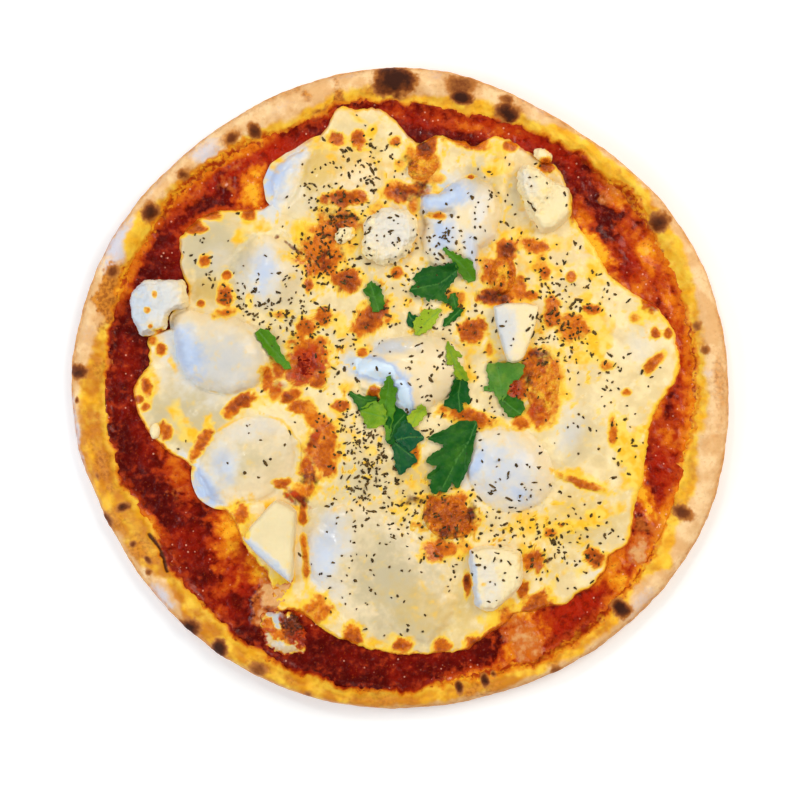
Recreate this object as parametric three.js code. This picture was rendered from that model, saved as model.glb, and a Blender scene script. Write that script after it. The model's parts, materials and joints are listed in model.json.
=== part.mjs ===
// A baked, uncut mascarpone pizza: dough with a raised rim, tomato sauce, melted mozzarella, soft mascarpone
// dollops, pieces of cut and crumbled cheese, browned curds and parsley leaves.
// Millimetres, +Z up. The origin is the middle of the flat underside.
import * as THREE from "three";

// ---- Driving dimensions ----
const segments = 96; // steps round the pizza
const gap = 0.3; // room kept between pieces that touch
const leafGap = 0.5; // room kept under a leaf, which lies on uneven food

const dough = { floor: 4, rim: 13, foot: 8, undercut: 2.2 };
const sauce = { top: 5.7, lip: 6.5, dip: 0.7 };
const mozzarella = { bottom: 6.1, top: 8, bay: 0.6 };
const onSauce = sauce.top + gap; // what lies on the sauce, in a bay of the cheese or outside it
const onCheese = mozzarella.top + gap;
const leafThickness = 0.9;

// Each ring is read as [degrees round the pizza, radius], counted from +X towards +Y.
const crustEdge = [
  [0, 164], [25, 163], [52, 157], [65, 157], [85, 161], [128, 159.5], [158, 163.5],
  [187, 165], [203, 161], [250, 160.5], [285, 159.5], [310, 163], [335, 166.5],
];
const sauceEdge = [
  [0, 146.6], [40, 148], [62, 144], [83, 141.3], [97, 145], [115, 142], [142, 148], [172, 147],
  [200, 146.7], [209, 141.6], [219, 145], [245, 149.4], [268, 151.5], [282, 148], [303, 151.5], [345, 146],
];
const mozzarellaEdge = [
  [8, 140], [24, 124], [34, 115], [45, 122], [56, 137], [61, 134], [67, 137], [77, 128], [85, 119], [93, 140],
  [103, 142], [115, 129], [127, 113], [134, 127], [144, 136], [150, 126], [155, 109], [161, 105], [166, 118],
  [171, 126], [179, 135], [190, 129], [201, 111], [213, 107], [229, 110], [242, 121], [259, 130], [272, 133],
  [284, 134], [299, 124], [307, 129], [316, 139], [323, 133], [330, 134], [338, 123], [353, 127],
];

// Melted mascarpone: middle, length, width, turn of the length from +X, height, and lobes in the edge, each
// [degrees, mm out, spread]. Two of them show the crease where the spoon left them.
const dollops = [
  { at: [-38, 104], length: 58, width: 44, turn: 14, height: 8, lobes: [[160, 2, 25], [250, -2, 25]] },
  { at: [-65, 56.5], length: 48, width: 42, turn: 100, height: 7, lobes: [[20, 2, 25], [225, 1, 20]] },
  { at: [-90, 17.5], length: 51, width: 38, turn: -14, height: 9.5, lobes: [[130, 2, 20], [185, -2, 30]] },
  { at: [-76, -36], length: 56, width: 42, turn: 22, height: 8, lobes: [[10, -3, 25], [225, 3, 25]] },
  {
    at: [30, 82], length: 50, width: 36, turn: 62, height: 9,
    lobes: [[150, 9, 14], [171, -5, 9], [284, 8, 9], [310, -4, 14]],
    crease: { from: [12, 86], to: [30, 88], depth: 3, spread: 4 },
  },
  {
    at: [5, 9], length: 56, width: 36, turn: 8, height: 11, lobes: [[285, 3, 25], [235, -3, 25]],
    crease: { from: [-26, 4], to: [-6, -2], depth: 2, spread: 6 },
  },
  { at: [54, -39], length: 50, width: 40, turn: -40, height: 9, lobes: [[100, -2, 30], [250, 2, 30]] },
  {
    at: [-11, -93], length: 92, width: 62, turn: -38, height: 7.5,
    lobes: [[200, -4, 30], [60, -4, 25], [110, 5, 25]],
  },
];

// Cheese that kept its cut or crumbled shape: its corners seen from above, its height, and how far its sides
// lean in. The first lies on the sauce.
const chunks = [
  {
    base: onSauce, height: 11, lean: 0.1,
    corners: [[-136, 44], [-128, 54], [-109, 54], [-106, 42.5], [-115, 38.5], [-118, 30], [-130, 27]],
  },
  { height: 8, lean: 0.16, corners: [[-18, 84], [-9, 90], [5, 88], [8, 78], [2, 66], [-9, 62], [-19, 68]] },
  {
    height: 9, lean: 0.14,
    corners: [[57, 103], [62, 113], [72, 105], [84, 100], [86, 88], [77, 79], [70, 78], [63, 90]],
  },
  { height: 7, lean: 0.06, corners: [[46, 41.5], [69, 41.5], [61, 15], [53, 14]] },
  {
    height: 9, lean: 0.08,
    corners: [[-62, -55], [-52, -61], [-53, -80], [-55, -97], [-79, -75], [-71, -64]],
  },
  { height: 8, lean: 0.12, corners: [[34, -80], [50, -78], [60, -82], [60, -98], [46, -111], [37, -108]] },
];

// Small crumbs of the same cheese and low browned curds: middle, length, width, turn and height.
const crumbs = [
  { at: [-28, 77], length: 11, width: 8, turn: 30, height: 4 },
  { at: [71, 116.5], length: 11, width: 6, turn: -25, height: 4 },
  { at: [-123, -21], length: 9, width: 5, turn: 80, height: 2.5 },
];
const curds = [
  { at: [11, 111], length: 17, width: 12, turn: 30, height: 3.5 },
  { at: [51, 57], length: 20, width: 13, turn: 80, height: 4.5 },
  { at: [71, 2], length: 30, width: 16, turn: 82, height: 3 },
  { at: [23, -64], length: 26, width: 22, turn: -30, height: 4 },
];
const outlyingCheese = {
  at: [-59, -122], length: 30, width: 19, turn: -35, height: 4.5, lobes: [[60, 2, 20], [180, -2, 30]],
};

// Parsley leaflets, in the order in which they fell: stem end, tip, width, and how steeply the sides rise
// from the midrib.
const leaves = [
  { stem: [27, 56], tip: [4, 50], width: 18, fold: 0.16 },
  { stem: [36, 55], tip: [22, 69], width: 9, fold: 0.2 },
  { stem: [28, 47], tip: [24, 39], width: 7, fold: 0.15 },
  { stem: [7, 28], tip: [19, 40], width: 9, fold: 0.2 },
  { stem: [-10, 39], tip: [-16, 53], width: 8, fold: 0.15 },
  { stem: [-56, 10], tip: [-71, 29], width: 7.5, fold: 0.2 },
  { stem: [-13, -6], tip: [-25, -2], width: 8, fold: 0.1 },
  { stem: [-8, -13], tip: [-19, -14], width: 12, fold: 0.15 },
  { stem: [4, -17], tip: [11, -8], width: 7, fold: 0.1 },
  { stem: [-1, -31], tip: [2, -41], width: 9, fold: 0.15 },
  { stem: [0, -30], tip: [6, -18], width: 9, fold: 0.15 },
  { stem: [-4, -27], tip: [-6, 6], width: 9, fold: 0.2 },
  { stem: [30, 4], tip: [28, -11], width: 11, fold: 0.15 },
  { stem: [31, 5], tip: [26, 23], width: 8, fold: 0.2 },
  { stem: [50, -6], tip: [53, 14], width: 18, fold: 0.12 },
  { stem: [51, -8], tip: [61, -10], width: 9, fold: 0.1 },
  { stem: [38, -16], tip: [18, -51], width: 23, fold: 0.12 },
];

const colours = {
  dough: new THREE.MeshStandardMaterial({ color: 0xe8be82, roughness: 0.75 }),
  sauce: new THREE.MeshStandardMaterial({ color: 0x8c1f0a, roughness: 0.35 }),
  mozzarella: new THREE.MeshStandardMaterial({ color: 0xecd4a0, roughness: 0.4 }),
  mascarpone: new THREE.MeshStandardMaterial({ color: 0xe6e2da, roughness: 0.3 }),
  cutCheese: new THREE.MeshStandardMaterial({ color: 0xece2c8, roughness: 0.6 }),
  curd: new THREE.MeshStandardMaterial({ color: 0xcd7a26, roughness: 0.45 }),
  parsley: new THREE.MeshStandardMaterial({ color: 0x2d5f1c, roughness: 0.5 }),
};

// ---- Outlines ----

const radians = THREE.MathUtils.degToRad;
const turnBetween = (a, b) => Math.abs(((a - b + 540) % 360) - 180); // degrees between two directions

// A smooth ring through [degrees, radius] pairs, as a function of the angle in degrees.
function ring(pairs) {
  const curve = pairs.map(([degrees, radius]) => ({ degrees, radius }));
  const count = curve.length;
  return (degrees) => {
    const angle = ((degrees % 360) + 360) % 360;
    let next = curve.findIndex((point) => point.degrees > angle);
    if (next < 0) next = count;
    const pick = (i) => curve[(i + count) % count];
    const turns = (i) => pick(i).degrees + 360 * Math.floor(i / count);
    const t = (angle - turns(next - 1)) / (turns(next) - turns(next - 1));
    const [a, b, c, d] = [next - 2, next - 1, next, next + 1].map((i) => pick(i).radius);
    return b + 0.5 * t * (c - a + t * (2 * a - 5 * b + 4 * c - d + t * (3 * (b - c) + d - a)));
  };
}

// An oval with lobes and hollows in its edge, as points round its middle.
function ovalOutline({ at, length, width, turn, lobes = [] }, count) {
  return Array.from({ length: count }, (_, i) => {
    const degrees = (360 * i) / count;
    const angle = radians(degrees - turn);
    const reach = 1 / Math.hypot(Math.cos(angle) / (length / 2), Math.sin(angle) / (width / 2));
    const lobe = lobes.reduce((sum, [to, out, spread]) => {
      return sum + out * Math.exp(-((turnBetween(degrees, to) / spread) ** 2));
    }, 0);
    const direction = new THREE.Vector2(Math.cos(radians(degrees)), Math.sin(radians(degrees)));
    return direction.multiplyScalar(reach + lobe).add(new THREE.Vector2(...at));
  });
}

// A cut outline: straight between its corners, which are a little rounded.
function cutOutline(corners, perEdge) {
  const roundness = 0.25;
  const points = corners.map(([x, y]) => new THREE.Vector3(x, y, 0));
  const curve = new THREE.CatmullRomCurve3(points, true, "catmullrom", roundness);
  const around = curve.getPoints(corners.length * perEdge).slice(0, -1);
  return around.map((p) => new THREE.Vector2(p.x, p.y)).reverse();
}

// ---- Solids ----

// A closed solid over a lattice of steps round the middle by rings: place(step, ring) gives each point.
function latticeSolid(steps, rings, place) {
  const profile = Array.from({ length: rings }, (_, i) => new THREE.Vector2(1, i));
  const geometry = new THREE.LatheGeometry(profile, steps);
  const position = geometry.attributes.position;
  for (let step = 0; step <= steps; step++) {
    for (let i = 0; i < rings; i++) {
      const point = place(step % steps, i);
      position.setXYZ(step * rings + i, point.x, point.y, point.z);
    }
  }
  geometry.deleteAttribute("uv");
  geometry.computeVertexNormals();
  return geometry;
}

// A solid turned about Z whose profile changes with the angle. A profile is read as [radius, height], from
// the bottom middle to the top middle.
function turnedSolid(profileAt) {
  const profiles = Array.from({ length: segments }, (_, step) => profileAt((360 * step) / segments));
  return latticeSolid(segments, profiles[0].length, (step, i) => {
    const [radius, height] = profiles[step][i];
    const angle = (2 * Math.PI * step) / segments;
    return new THREE.Vector3(radius * Math.cos(angle), radius * Math.sin(angle), height);
  });
}

// A mound over an outline: rings are [share of the way out from the middle, height].
function moundSolid(outline, rings, sink = () => 0) {
  const middle = outline.reduce((sum, p) => sum.add(p), new THREE.Vector2()).divideScalar(outline.length);
  const highest = Math.max(...rings.map(([, height]) => height));
  return latticeSolid(outline.length, rings.length, (step, i) => {
    const [share, height] = rings[i];
    const flat = middle.clone().lerp(outline[step], share);
    const raised = (height - rings[0][1]) / (highest - rings[0][1]);
    return new THREE.Vector3(flat.x, flat.y, height - sink(flat) * raised);
  });
}

// How far a crease lowers the surface at a point: a soft valley along a line.
function creaseDepth({ from, to, depth, spread }, point) {
  const line = new THREE.Line3(new THREE.Vector3(...from, 0), new THREE.Vector3(...to, 0));
  const nearest = line.closestPointToPoint(new THREE.Vector3(point.x, point.y, 0), true, new THREE.Vector3());
  const away = Math.hypot(point.x - nearest.x, point.y - nearest.y);
  return depth * Math.exp(-((away / spread) ** 2));
}

const mesh = (name, geometry, material) => {
  const made = new THREE.Mesh(geometry, material);
  made.name = name;
  return made;
};

// ---- Dough, sauce and melted cheese ----

const crustRadius = ring(crustEdge);
const sauceRadius = ring(sauceEdge);
const cheeseRadius = ring(mozzarellaEdge);

// The rim is higher and lower round the pizza, as dough rises unevenly.
function rimHeight(degrees) {
  const angle = radians(degrees);
  const swell = 0.9 * Math.sin(3 * angle + 0.6) + 0.6 * Math.sin(7 * angle + 2);
  return dough.rim + swell + 0.35 * Math.sin(17 * angle);
}

function crustSolid() {
  return turnedSolid((degrees) => {
    const outer = crustRadius(degrees);
    const inner = sauceRadius(degrees);
    const top = rimHeight(degrees);
    const across = (share) => inner + share * (outer - inner);
    return [
      [0, 0],
      [outer - dough.foot, 0],
      [outer - dough.undercut, top * 0.16],
      [outer, top * 0.48],
      [across(0.84), top * 0.86],
      [across(0.6), top],
      [across(0.32), top * 0.84],
      [inner - 1, dough.floor + 1.2],
      [inner - 8, dough.floor],
      [0, dough.floor],
    ];
  });
}

// The sauce lies on the dough, laps up to the rim, and is pulpy where the cheese leaves it bare.
function sauceSolid() {
  const pulp = (degrees, row) => {
    const angle = radians(degrees);
    return sauce.dip * (0.5 + 0.25 * Math.sin(13 * angle + 2 * row) + 0.25 * Math.sin(29 * angle + 5 * row));
  };
  return turnedSolid((degrees) => {
    const edge = sauceRadius(degrees);
    return [
      [0, dough.floor + gap],
      [edge - 8, dough.floor + gap],
      [edge - 1, dough.floor + 1.2 + gap],
      [edge - 1.2, sauce.lip],
      [edge - 6, sauce.top - pulp(degrees, 1)],
      [edge - 14, sauce.top - pulp(degrees, 2)],
      [edge - 24, sauce.top - pulp(degrees, 3)],
      [0, sauce.top],
    ];
  });
}

// Melted mozzarella with a rounded lobed edge and shallow hollows between the toppings.
function mozzarellaSolid() {
  const hollow = (degrees, radius) => {
    const angle = radians(degrees);
    return mozzarella.bay * (0.5 + 0.5 * Math.sin(5 * angle + radius / 9) * Math.sin(radius / 13 + 1));
  };
  return turnedSolid((degrees) => {
    const edge = cheeseRadius(degrees);
    const row = (share) => [edge * share, mozzarella.top - hollow(degrees, edge * share)];
    return [
      [0, mozzarella.bottom],
      [edge - 2, mozzarella.bottom],
      [edge, mozzarella.bottom + 1],
      [edge - 1, mozzarella.top - 0.5],
      [edge - 3.5, mozzarella.top],
      row(0.92),
      row(0.8),
      row(0.64),
      row(0.46),
      row(0.24),
      [0, mozzarella.top],
    ];
  });
}

// ---- Toppings ----

const domeRings = (base, height) => [
  [0, base],
  [0.93, base],
  [1, base + height * 0.2],
  [0.9, base + height * 0.52],
  [0.68, base + height * 0.82],
  [0.36, base + height * 0.97],
  [0, base + height],
];

function dollopSolid(spec, count) {
  const sink = spec.crease ? (point) => creaseDepth(spec.crease, point) : undefined;
  return moundSolid(ovalOutline(spec, count), domeRings(onCheese, spec.height), sink);
}

function chunkSolid({ corners, height, lean, base = onCheese }) {
  const perEdge = 3;
  return moundSolid(cutOutline(corners, perEdge), [
    [0, base],
    [0.97, base],
    [1, base + 1],
    [1 - lean, base + height * 0.88],
    [0.86 - lean, base + height],
    [0, base + height * 0.97],
  ]);
}

// ---- Parsley ----

// A toothed leaflet, folded up a little along its midrib, lying flat at height zero.
function leafSolid({ stem, tip, width, fold }) {
  const rows = 8;
  const stemWidth = 0.6;
  const from = new THREE.Vector2(...stem);
  const along = new THREE.Vector2(...tip).sub(from);
  const across = new THREE.Vector2(-along.y, along.x).normalize();
  const geometry = new THREE.BoxGeometry(1, 1, 1, rows, 2, 1);
  const position = geometry.attributes.position;
  for (let i = 0; i < position.count; i++) {
    const t = position.getX(i) + 0.5;
    const side = position.getY(i) * 2;
    const tooth = Math.round(t * rows) % 2 === 0 ? 0.68 : 1;
    const half = Math.max(stemWidth / 2, (width / 2) * tooth * Math.sin(Math.PI * t ** 0.8) ** 0.7);
    const forward = Math.abs(side) * (1 - t) * t * 0.35; // teeth point towards the tip
    const flat = from.clone().addScaledVector(along, t + forward).addScaledVector(across, side * half);
    const lift = fold * Math.abs(side) * half + leafThickness * (position.getZ(i) + 0.5);
    position.setXYZ(i, flat.x, flat.y, lift);
  }
  geometry.deleteAttribute("uv");
  geometry.computeVertexNormals();
  return geometry;
}

// Lets a stiff leaf settle on the food under it: of all small tilts, it takes the one whose middle comes to
// rest lowest. The leaf is tested at its corners and along its edges.
function settle(geometry, { stem, tip, width }, below) {
  const skyHeight = 100;
  const steepest = 0.7;
  const ray = new THREE.Raycaster();
  const down = new THREE.Vector3(0, 0, -1);
  const middle = new THREE.Vector2(...stem).lerp(new THREE.Vector2(...tip), 0.5);
  const along = new THREE.Vector2(...tip).sub(new THREE.Vector2(...stem));
  const length = along.length();
  along.normalize();
  const ahead = (p) => ((p.x - middle.x) * along.x + (p.y - middle.y) * along.y) / length;
  const aside = (p) => ((p.y - middle.y) * along.x - (p.x - middle.x) * along.y) / width;

  const position = geometry.attributes.position;
  const corners = [0, 1, 2].map(() => new THREE.Vector3());
  const needed = [];
  for (let i = 0; i < geometry.index.count; i += 3) {
    corners.forEach((corner, k) => corner.fromBufferAttribute(position, geometry.index.getX(i + k)));
    const [a, b, c] = corners;
    const halfway = [[a, b], [b, c], [c, a]].map(([p, q]) => p.clone().lerp(q, 0.5));
    for (const test of [a, b, c, ...halfway]) {
      ray.set(new THREE.Vector3(test.x, test.y, skyHeight), down);
      const hit = ray.intersectObjects(below)[0];
      needed.push({ ahead: ahead(test), aside: aside(test), rise: hit.point.z + leafGap - test.z });
    }
  }

  let best = { rise: Infinity };
  const tilts = Array.from({ length: 29 }, (_, i) => (i / 14 - 1) * steepest);
  for (const pitch of tilts.map((tilt) => tilt * length)) {
    for (const roll of tilts.map((tilt) => tilt * width * 0.5)) {
      const rise = Math.max(...needed.map((spot) => spot.rise - pitch * spot.ahead - roll * spot.aside));
      if (rise < best.rise) best = { rise, pitch, roll };
    }
  }
  const point = new THREE.Vector3();
  for (let i = 0; i < position.count; i++) {
    point.fromBufferAttribute(position, i);
    position.setZ(i, point.z + best.rise + best.pitch * ahead(point) + best.roll * aside(point));
  }
  geometry.computeVertexNormals();
}

// ---- The pizza ----

const pizza = new THREE.Group();
pizza.add(
  mesh("crust", crustSolid(), colours.dough),
  mesh("tomato_sauce", sauceSolid(), colours.sauce),
  mesh("mozzarella", mozzarellaSolid(), colours.mozzarella),
);
dollops.forEach((spec, i) => {
  pizza.add(mesh(`mascarpone_${i + 1}`, dollopSolid(spec, 20), colours.mascarpone));
});
chunks.forEach((spec, i) => {
  pizza.add(mesh(`cheese_chunk_${i + 1}`, chunkSolid(spec), colours.cutCheese));
});
crumbs.forEach((spec, i) => {
  pizza.add(mesh(`cheese_crumb_${i + 1}`, dollopSolid(spec, 10), colours.cutCheese));
});
curds.forEach((spec, i) => {
  pizza.add(mesh(`browned_curd_${i + 1}`, dollopSolid(spec, 14), colours.curd));
});

const outlyingRings = domeRings(onSauce, outlyingCheese.height);
const outlyingSolid = moundSolid(ovalOutline(outlyingCheese, 16), outlyingRings);
pizza.add(mesh("outlying_mozzarella", outlyingSolid, colours.mozzarella));

pizza.updateMatrixWorld(true);
leaves.forEach((spec, i) => {
  const geometry = leafSolid(spec);
  settle(geometry, spec, pizza.children);
  pizza.add(mesh(`parsley_${i + 1}`, geometry, colours.parsley));
});

export default pizza;
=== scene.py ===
# A baked mascarpone pizza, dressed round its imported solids: dough, sauce, melted cheese, toppings and herbs.
# Shapes are worked out in millimetres in the frame's own axes, and go into the meshes in metres.
import itertools
import json
import math

import bmesh
import bpy
import numpy as np
from mathutils import Euler, Matrix, Vector

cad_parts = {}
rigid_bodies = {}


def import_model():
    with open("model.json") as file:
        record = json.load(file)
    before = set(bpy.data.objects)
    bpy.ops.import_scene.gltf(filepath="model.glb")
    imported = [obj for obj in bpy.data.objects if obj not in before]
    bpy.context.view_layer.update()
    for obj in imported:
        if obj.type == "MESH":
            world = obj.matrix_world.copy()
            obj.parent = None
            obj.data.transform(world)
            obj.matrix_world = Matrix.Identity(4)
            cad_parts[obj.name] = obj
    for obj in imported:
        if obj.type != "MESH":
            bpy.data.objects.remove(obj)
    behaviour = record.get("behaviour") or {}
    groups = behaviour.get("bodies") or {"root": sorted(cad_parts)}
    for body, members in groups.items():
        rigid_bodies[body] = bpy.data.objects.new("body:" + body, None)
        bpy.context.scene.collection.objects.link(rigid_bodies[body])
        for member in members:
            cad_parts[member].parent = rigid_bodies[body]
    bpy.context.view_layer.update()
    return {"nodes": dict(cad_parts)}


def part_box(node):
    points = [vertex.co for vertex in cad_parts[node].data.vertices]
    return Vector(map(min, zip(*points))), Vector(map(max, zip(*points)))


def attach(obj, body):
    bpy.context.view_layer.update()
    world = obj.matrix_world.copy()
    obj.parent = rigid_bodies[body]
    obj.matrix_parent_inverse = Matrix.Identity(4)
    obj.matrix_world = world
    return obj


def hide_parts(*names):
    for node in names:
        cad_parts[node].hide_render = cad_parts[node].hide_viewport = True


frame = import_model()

scene = bpy.context.scene
mm = 0.001
nodes = frame["nodes"]


# numbers and noise

def smooth(low, high, value):
    t = np.clip((value - low) / (high - low), 0, 1)
    return t * t * (3 - 2 * t)


lattices = {}


def noise(cell, seed, *axes):
    # smooth noise from -1 to 1 on a seeded lattice, over two or three axes
    side = {2: 256, 3: 48}[len(axes)]
    if (seed, side) not in lattices:
        lattices[seed, side] = np.random.default_rng(seed).uniform(-1, 1, (side,) * len(axes))
    grid = lattices[seed, side]
    whole = [np.floor(axis / cell).astype(int) for axis in axes]
    part = [axis / cell - step for axis, step in zip(axes, whole)]
    part = [t * t * t * (t * (6 * t - 15) + 10) for t in part]
    total = 0
    for corner in itertools.product((0, 1), repeat=len(axes)):
        weight = 1
        for t, step in zip(part, corner):
            weight = weight * (t if step else 1 - t)
        total = total + weight * grid[tuple((low + step) % side for low, step in zip(whole, corner))]
    return total


def cloudy(cell, seed, *axes, layers=3):
    total, share, most = 0, 1, 0
    for layer in range(layers):
        total = total + share * noise(cell, seed + 31 * layer, *axes)
        most += share
        cell *= 0.47
        share *= 0.55
    return 1.4 * total / most


def marksAt(x, y, marks, seed=5, ragged=0.3, soft=0.4):
    # how far a list of marks covers each point; a mark is middle x, y, length, width, turn, strength
    wander = cloudy(5, seed, x, y) + 0.5 * cloudy(1.7, seed + 1, x, y)
    cover = np.zeros(len(x))
    for midX, midY, length, width, turn, strength in marks:
        near = np.flatnonzero(np.hypot(x - midX, y - midY) < 0.8 * max(length, width) + 2)
        c, s = math.cos(math.radians(turn)), math.sin(math.radians(turn))
        dx, dy = x[near] - midX, y[near] - midY
        away = np.hypot((dx * c + dy * s) / length, (dy * c - dx * s) / width) * 2
        away += ragged * wander[near]
        cover[near] = np.maximum(cover[near], strength * (1 - smooth(1 - soft, 1 + soft, away)))
    return cover


def awayFromLine(x, y, line):
    # distance from each point to a line of corners
    nearest = np.full(len(x), 1e9)
    for (ax, ay), (bx, by) in zip(line, line[1:]):
        dx, dy = bx - ax, by - ay
        t = np.clip(((x - ax) * dx + (y - ay) * dy) / (dx * dx + dy * dy), 0, 1)
        nearest = np.minimum(nearest, np.hypot(x - ax - t * dx, y - ay - t * dy))
    return nearest


def linesAt(x, y, lines, seed=8):
    # soft bands along lines; a line is its corners, its width and its strength
    wobble = 0.25 * cloudy(4, seed, x, y)
    cover = np.zeros(len(x))
    for corners, width, strength in lines:
        band = np.exp(-(awayFromLine(x, y, corners) / (width / 2 * (1 + wobble))) ** 2)
        cover = np.maximum(cover, strength * band)
    return cover


# what the frame says

def nodePoints(name):
    return pointsOf(nodes[name].data) / mm


def middleOf(name):
    low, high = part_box(name)
    return (low.x + high.x) / 2 / mm, (low.y + high.y) / 2 / mm


def topOf(name):
    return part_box(name)[1].z / mm


def reachOf(name, middle, blur=13):
    # how far a node's outline reaches from a middle, as a function of the angle; blur is in half degrees
    data = nodes[name].data
    ends = np.zeros(len(data.edges) * 2, int)
    data.edges.foreach_get("vertices", ends)
    flat = nodePoints(name)[:, :2] - middle
    start, stop = flat[ends[0::2]], flat[ends[1::2]]
    angles = np.linspace(-math.pi, math.pi, 721)
    reach = []
    for angle in angles:
        c, s = math.cos(angle), math.sin(angle)
        sideA = start[:, 1] * c - start[:, 0] * s
        sideB = stop[:, 1] * c - stop[:, 0] * s
        crossing = (sideA * sideB <= 0) & (np.abs(sideA - sideB) > 1e-9)
        share = sideA[crossing] / (sideA - sideB)[crossing]
        hit = start[crossing] + share[:, None] * (stop - start)[crossing]
        reach.append(max(hit @ (c, s)))
    reach = np.array(reach)
    half = blur // 2
    share = np.exp(-np.linspace(-2, 2, 2 * half + 1) ** 2)
    joined = np.r_[reach[-half - 1:-1], reach[:-1], reach[:half]]
    reach[:-1] = np.convolve(joined, share / share.sum(), "valid")
    reach[-1] = reach[0]
    return lambda angle: np.interp(angle, angles, reach)


# meshes

def publish(mesh, finish, replaces=()):
    piece = bpy.data.objects.new(mesh.name, mesh)
    scene.collection.objects.link(piece)
    mesh.materials.append(finish)
    mesh.polygons.foreach_set("use_smooth", [True] * len(mesh.polygons))
    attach(piece, "root")
    if replaces:
        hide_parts(*replaces)


def toMesh(bm, name):
    mesh = bpy.data.meshes.new(name)
    bm.to_mesh(mesh)
    bm.free()
    return mesh


def pointsOf(mesh, what="co"):
    # the places of a mesh's points in metres, or their normals
    values = np.zeros(len(mesh.vertices) * 3)
    mesh.vertices.foreach_get(what, values)
    return values.reshape(-1, 3)


def placePoints(mesh, x, y, z):
    mesh.vertices.foreach_set("co", (np.stack([x, y, z], axis=1) * mm).ravel())
    mesh.update()


def paint(mesh, **masks):
    for name, values in masks.items():
        layer = mesh.attributes.new(name, "FLOAT", "POINT")
        layer.data.foreach_set("value", np.asarray(values, np.float32))


def closeRim(bm, rim, steps):
    # walls off a rim in steps up or down, and gathers the last step to a point
    for step in steps:
        made = bmesh.ops.extrude_edge_only(bm, edges=rim)["geom"]
        rim = [part for part in made if isinstance(part, bmesh.types.BMEdge)]
        verts = [part for part in made if isinstance(part, bmesh.types.BMVert)]
        bmesh.ops.translate(bm, verts=verts, vec=(0, 0, step))
    middle = sum((v.co for v in verts), Vector()) / len(verts)
    bmesh.ops.pointmerge(bm, verts=verts, merge_co=(middle.x, middle.y, middle.z))


def discMesh(name, steps):
    # a unit disc of even quads with a wall and an underside; level 0 is its top
    bm = bmesh.new()
    bmesh.ops.create_grid(bm, x_segments=steps, y_segments=steps, size=1)
    closeRim(bm, [e for e in bm.edges if e.is_boundary], (-1, -1))
    bmesh.ops.recalc_face_normals(bm, faces=bm.faces)
    mesh = toMesh(bm, name)
    u, v, level = pointsOf(mesh).T
    wide = np.abs(u) > np.abs(v)
    big = np.where(wide, u, v)
    small = np.where(wide, v, u)
    turn = math.pi / 4 * small / np.where(big == 0, 1, big)
    angle = np.where(wide, turn, math.pi / 2 - turn) + np.where(big < 0, math.pi, 0)
    return mesh, np.abs(big), np.arctan2(np.sin(angle), np.cos(angle)), np.round(level)


def ringMesh(name, rows, steps):
    # a grid rolled up into a ring; the first row closes to a point at level -1 and the last at level 1
    bm = bmesh.new()
    bmesh.ops.create_grid(bm, x_segments=steps, y_segments=rows - 1, size=1)
    for v in bm.verts:
        angle, radius = math.pi * v.co.x, 1.5 + v.co.y / 2
        v.co = (radius * math.cos(angle), radius * math.sin(angle), 0)
    bmesh.ops.remove_doubles(bm, verts=bm.verts, dist=1e-5)
    for end, step in ((1, -1), (2, 1)):
        rim = [e for e in bm.edges if e.is_boundary and abs(e.verts[0].co.xy.length - end) < 0.3 / rows]
        closeRim(bm, rim, (step,))
    bmesh.ops.recalc_face_normals(bm, faces=bm.faces)
    mesh = toMesh(bm, name)
    x, y, level = pointsOf(mesh).T
    row = np.round((np.hypot(x, y) - 1) * (rows - 1))
    return mesh, row, np.arctan2(y, x), np.round(level)


# finishes

def tone(red, green, blue):
    # a colour as seen on a screen, from 0 to 255, as the linear colour that the shaders take
    parts = (red, green, blue)
    return [((part / 255 + 0.055) / 1.055) ** 2.4 if part > 10 else part / 3295 for part in parts] + [1]


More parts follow.
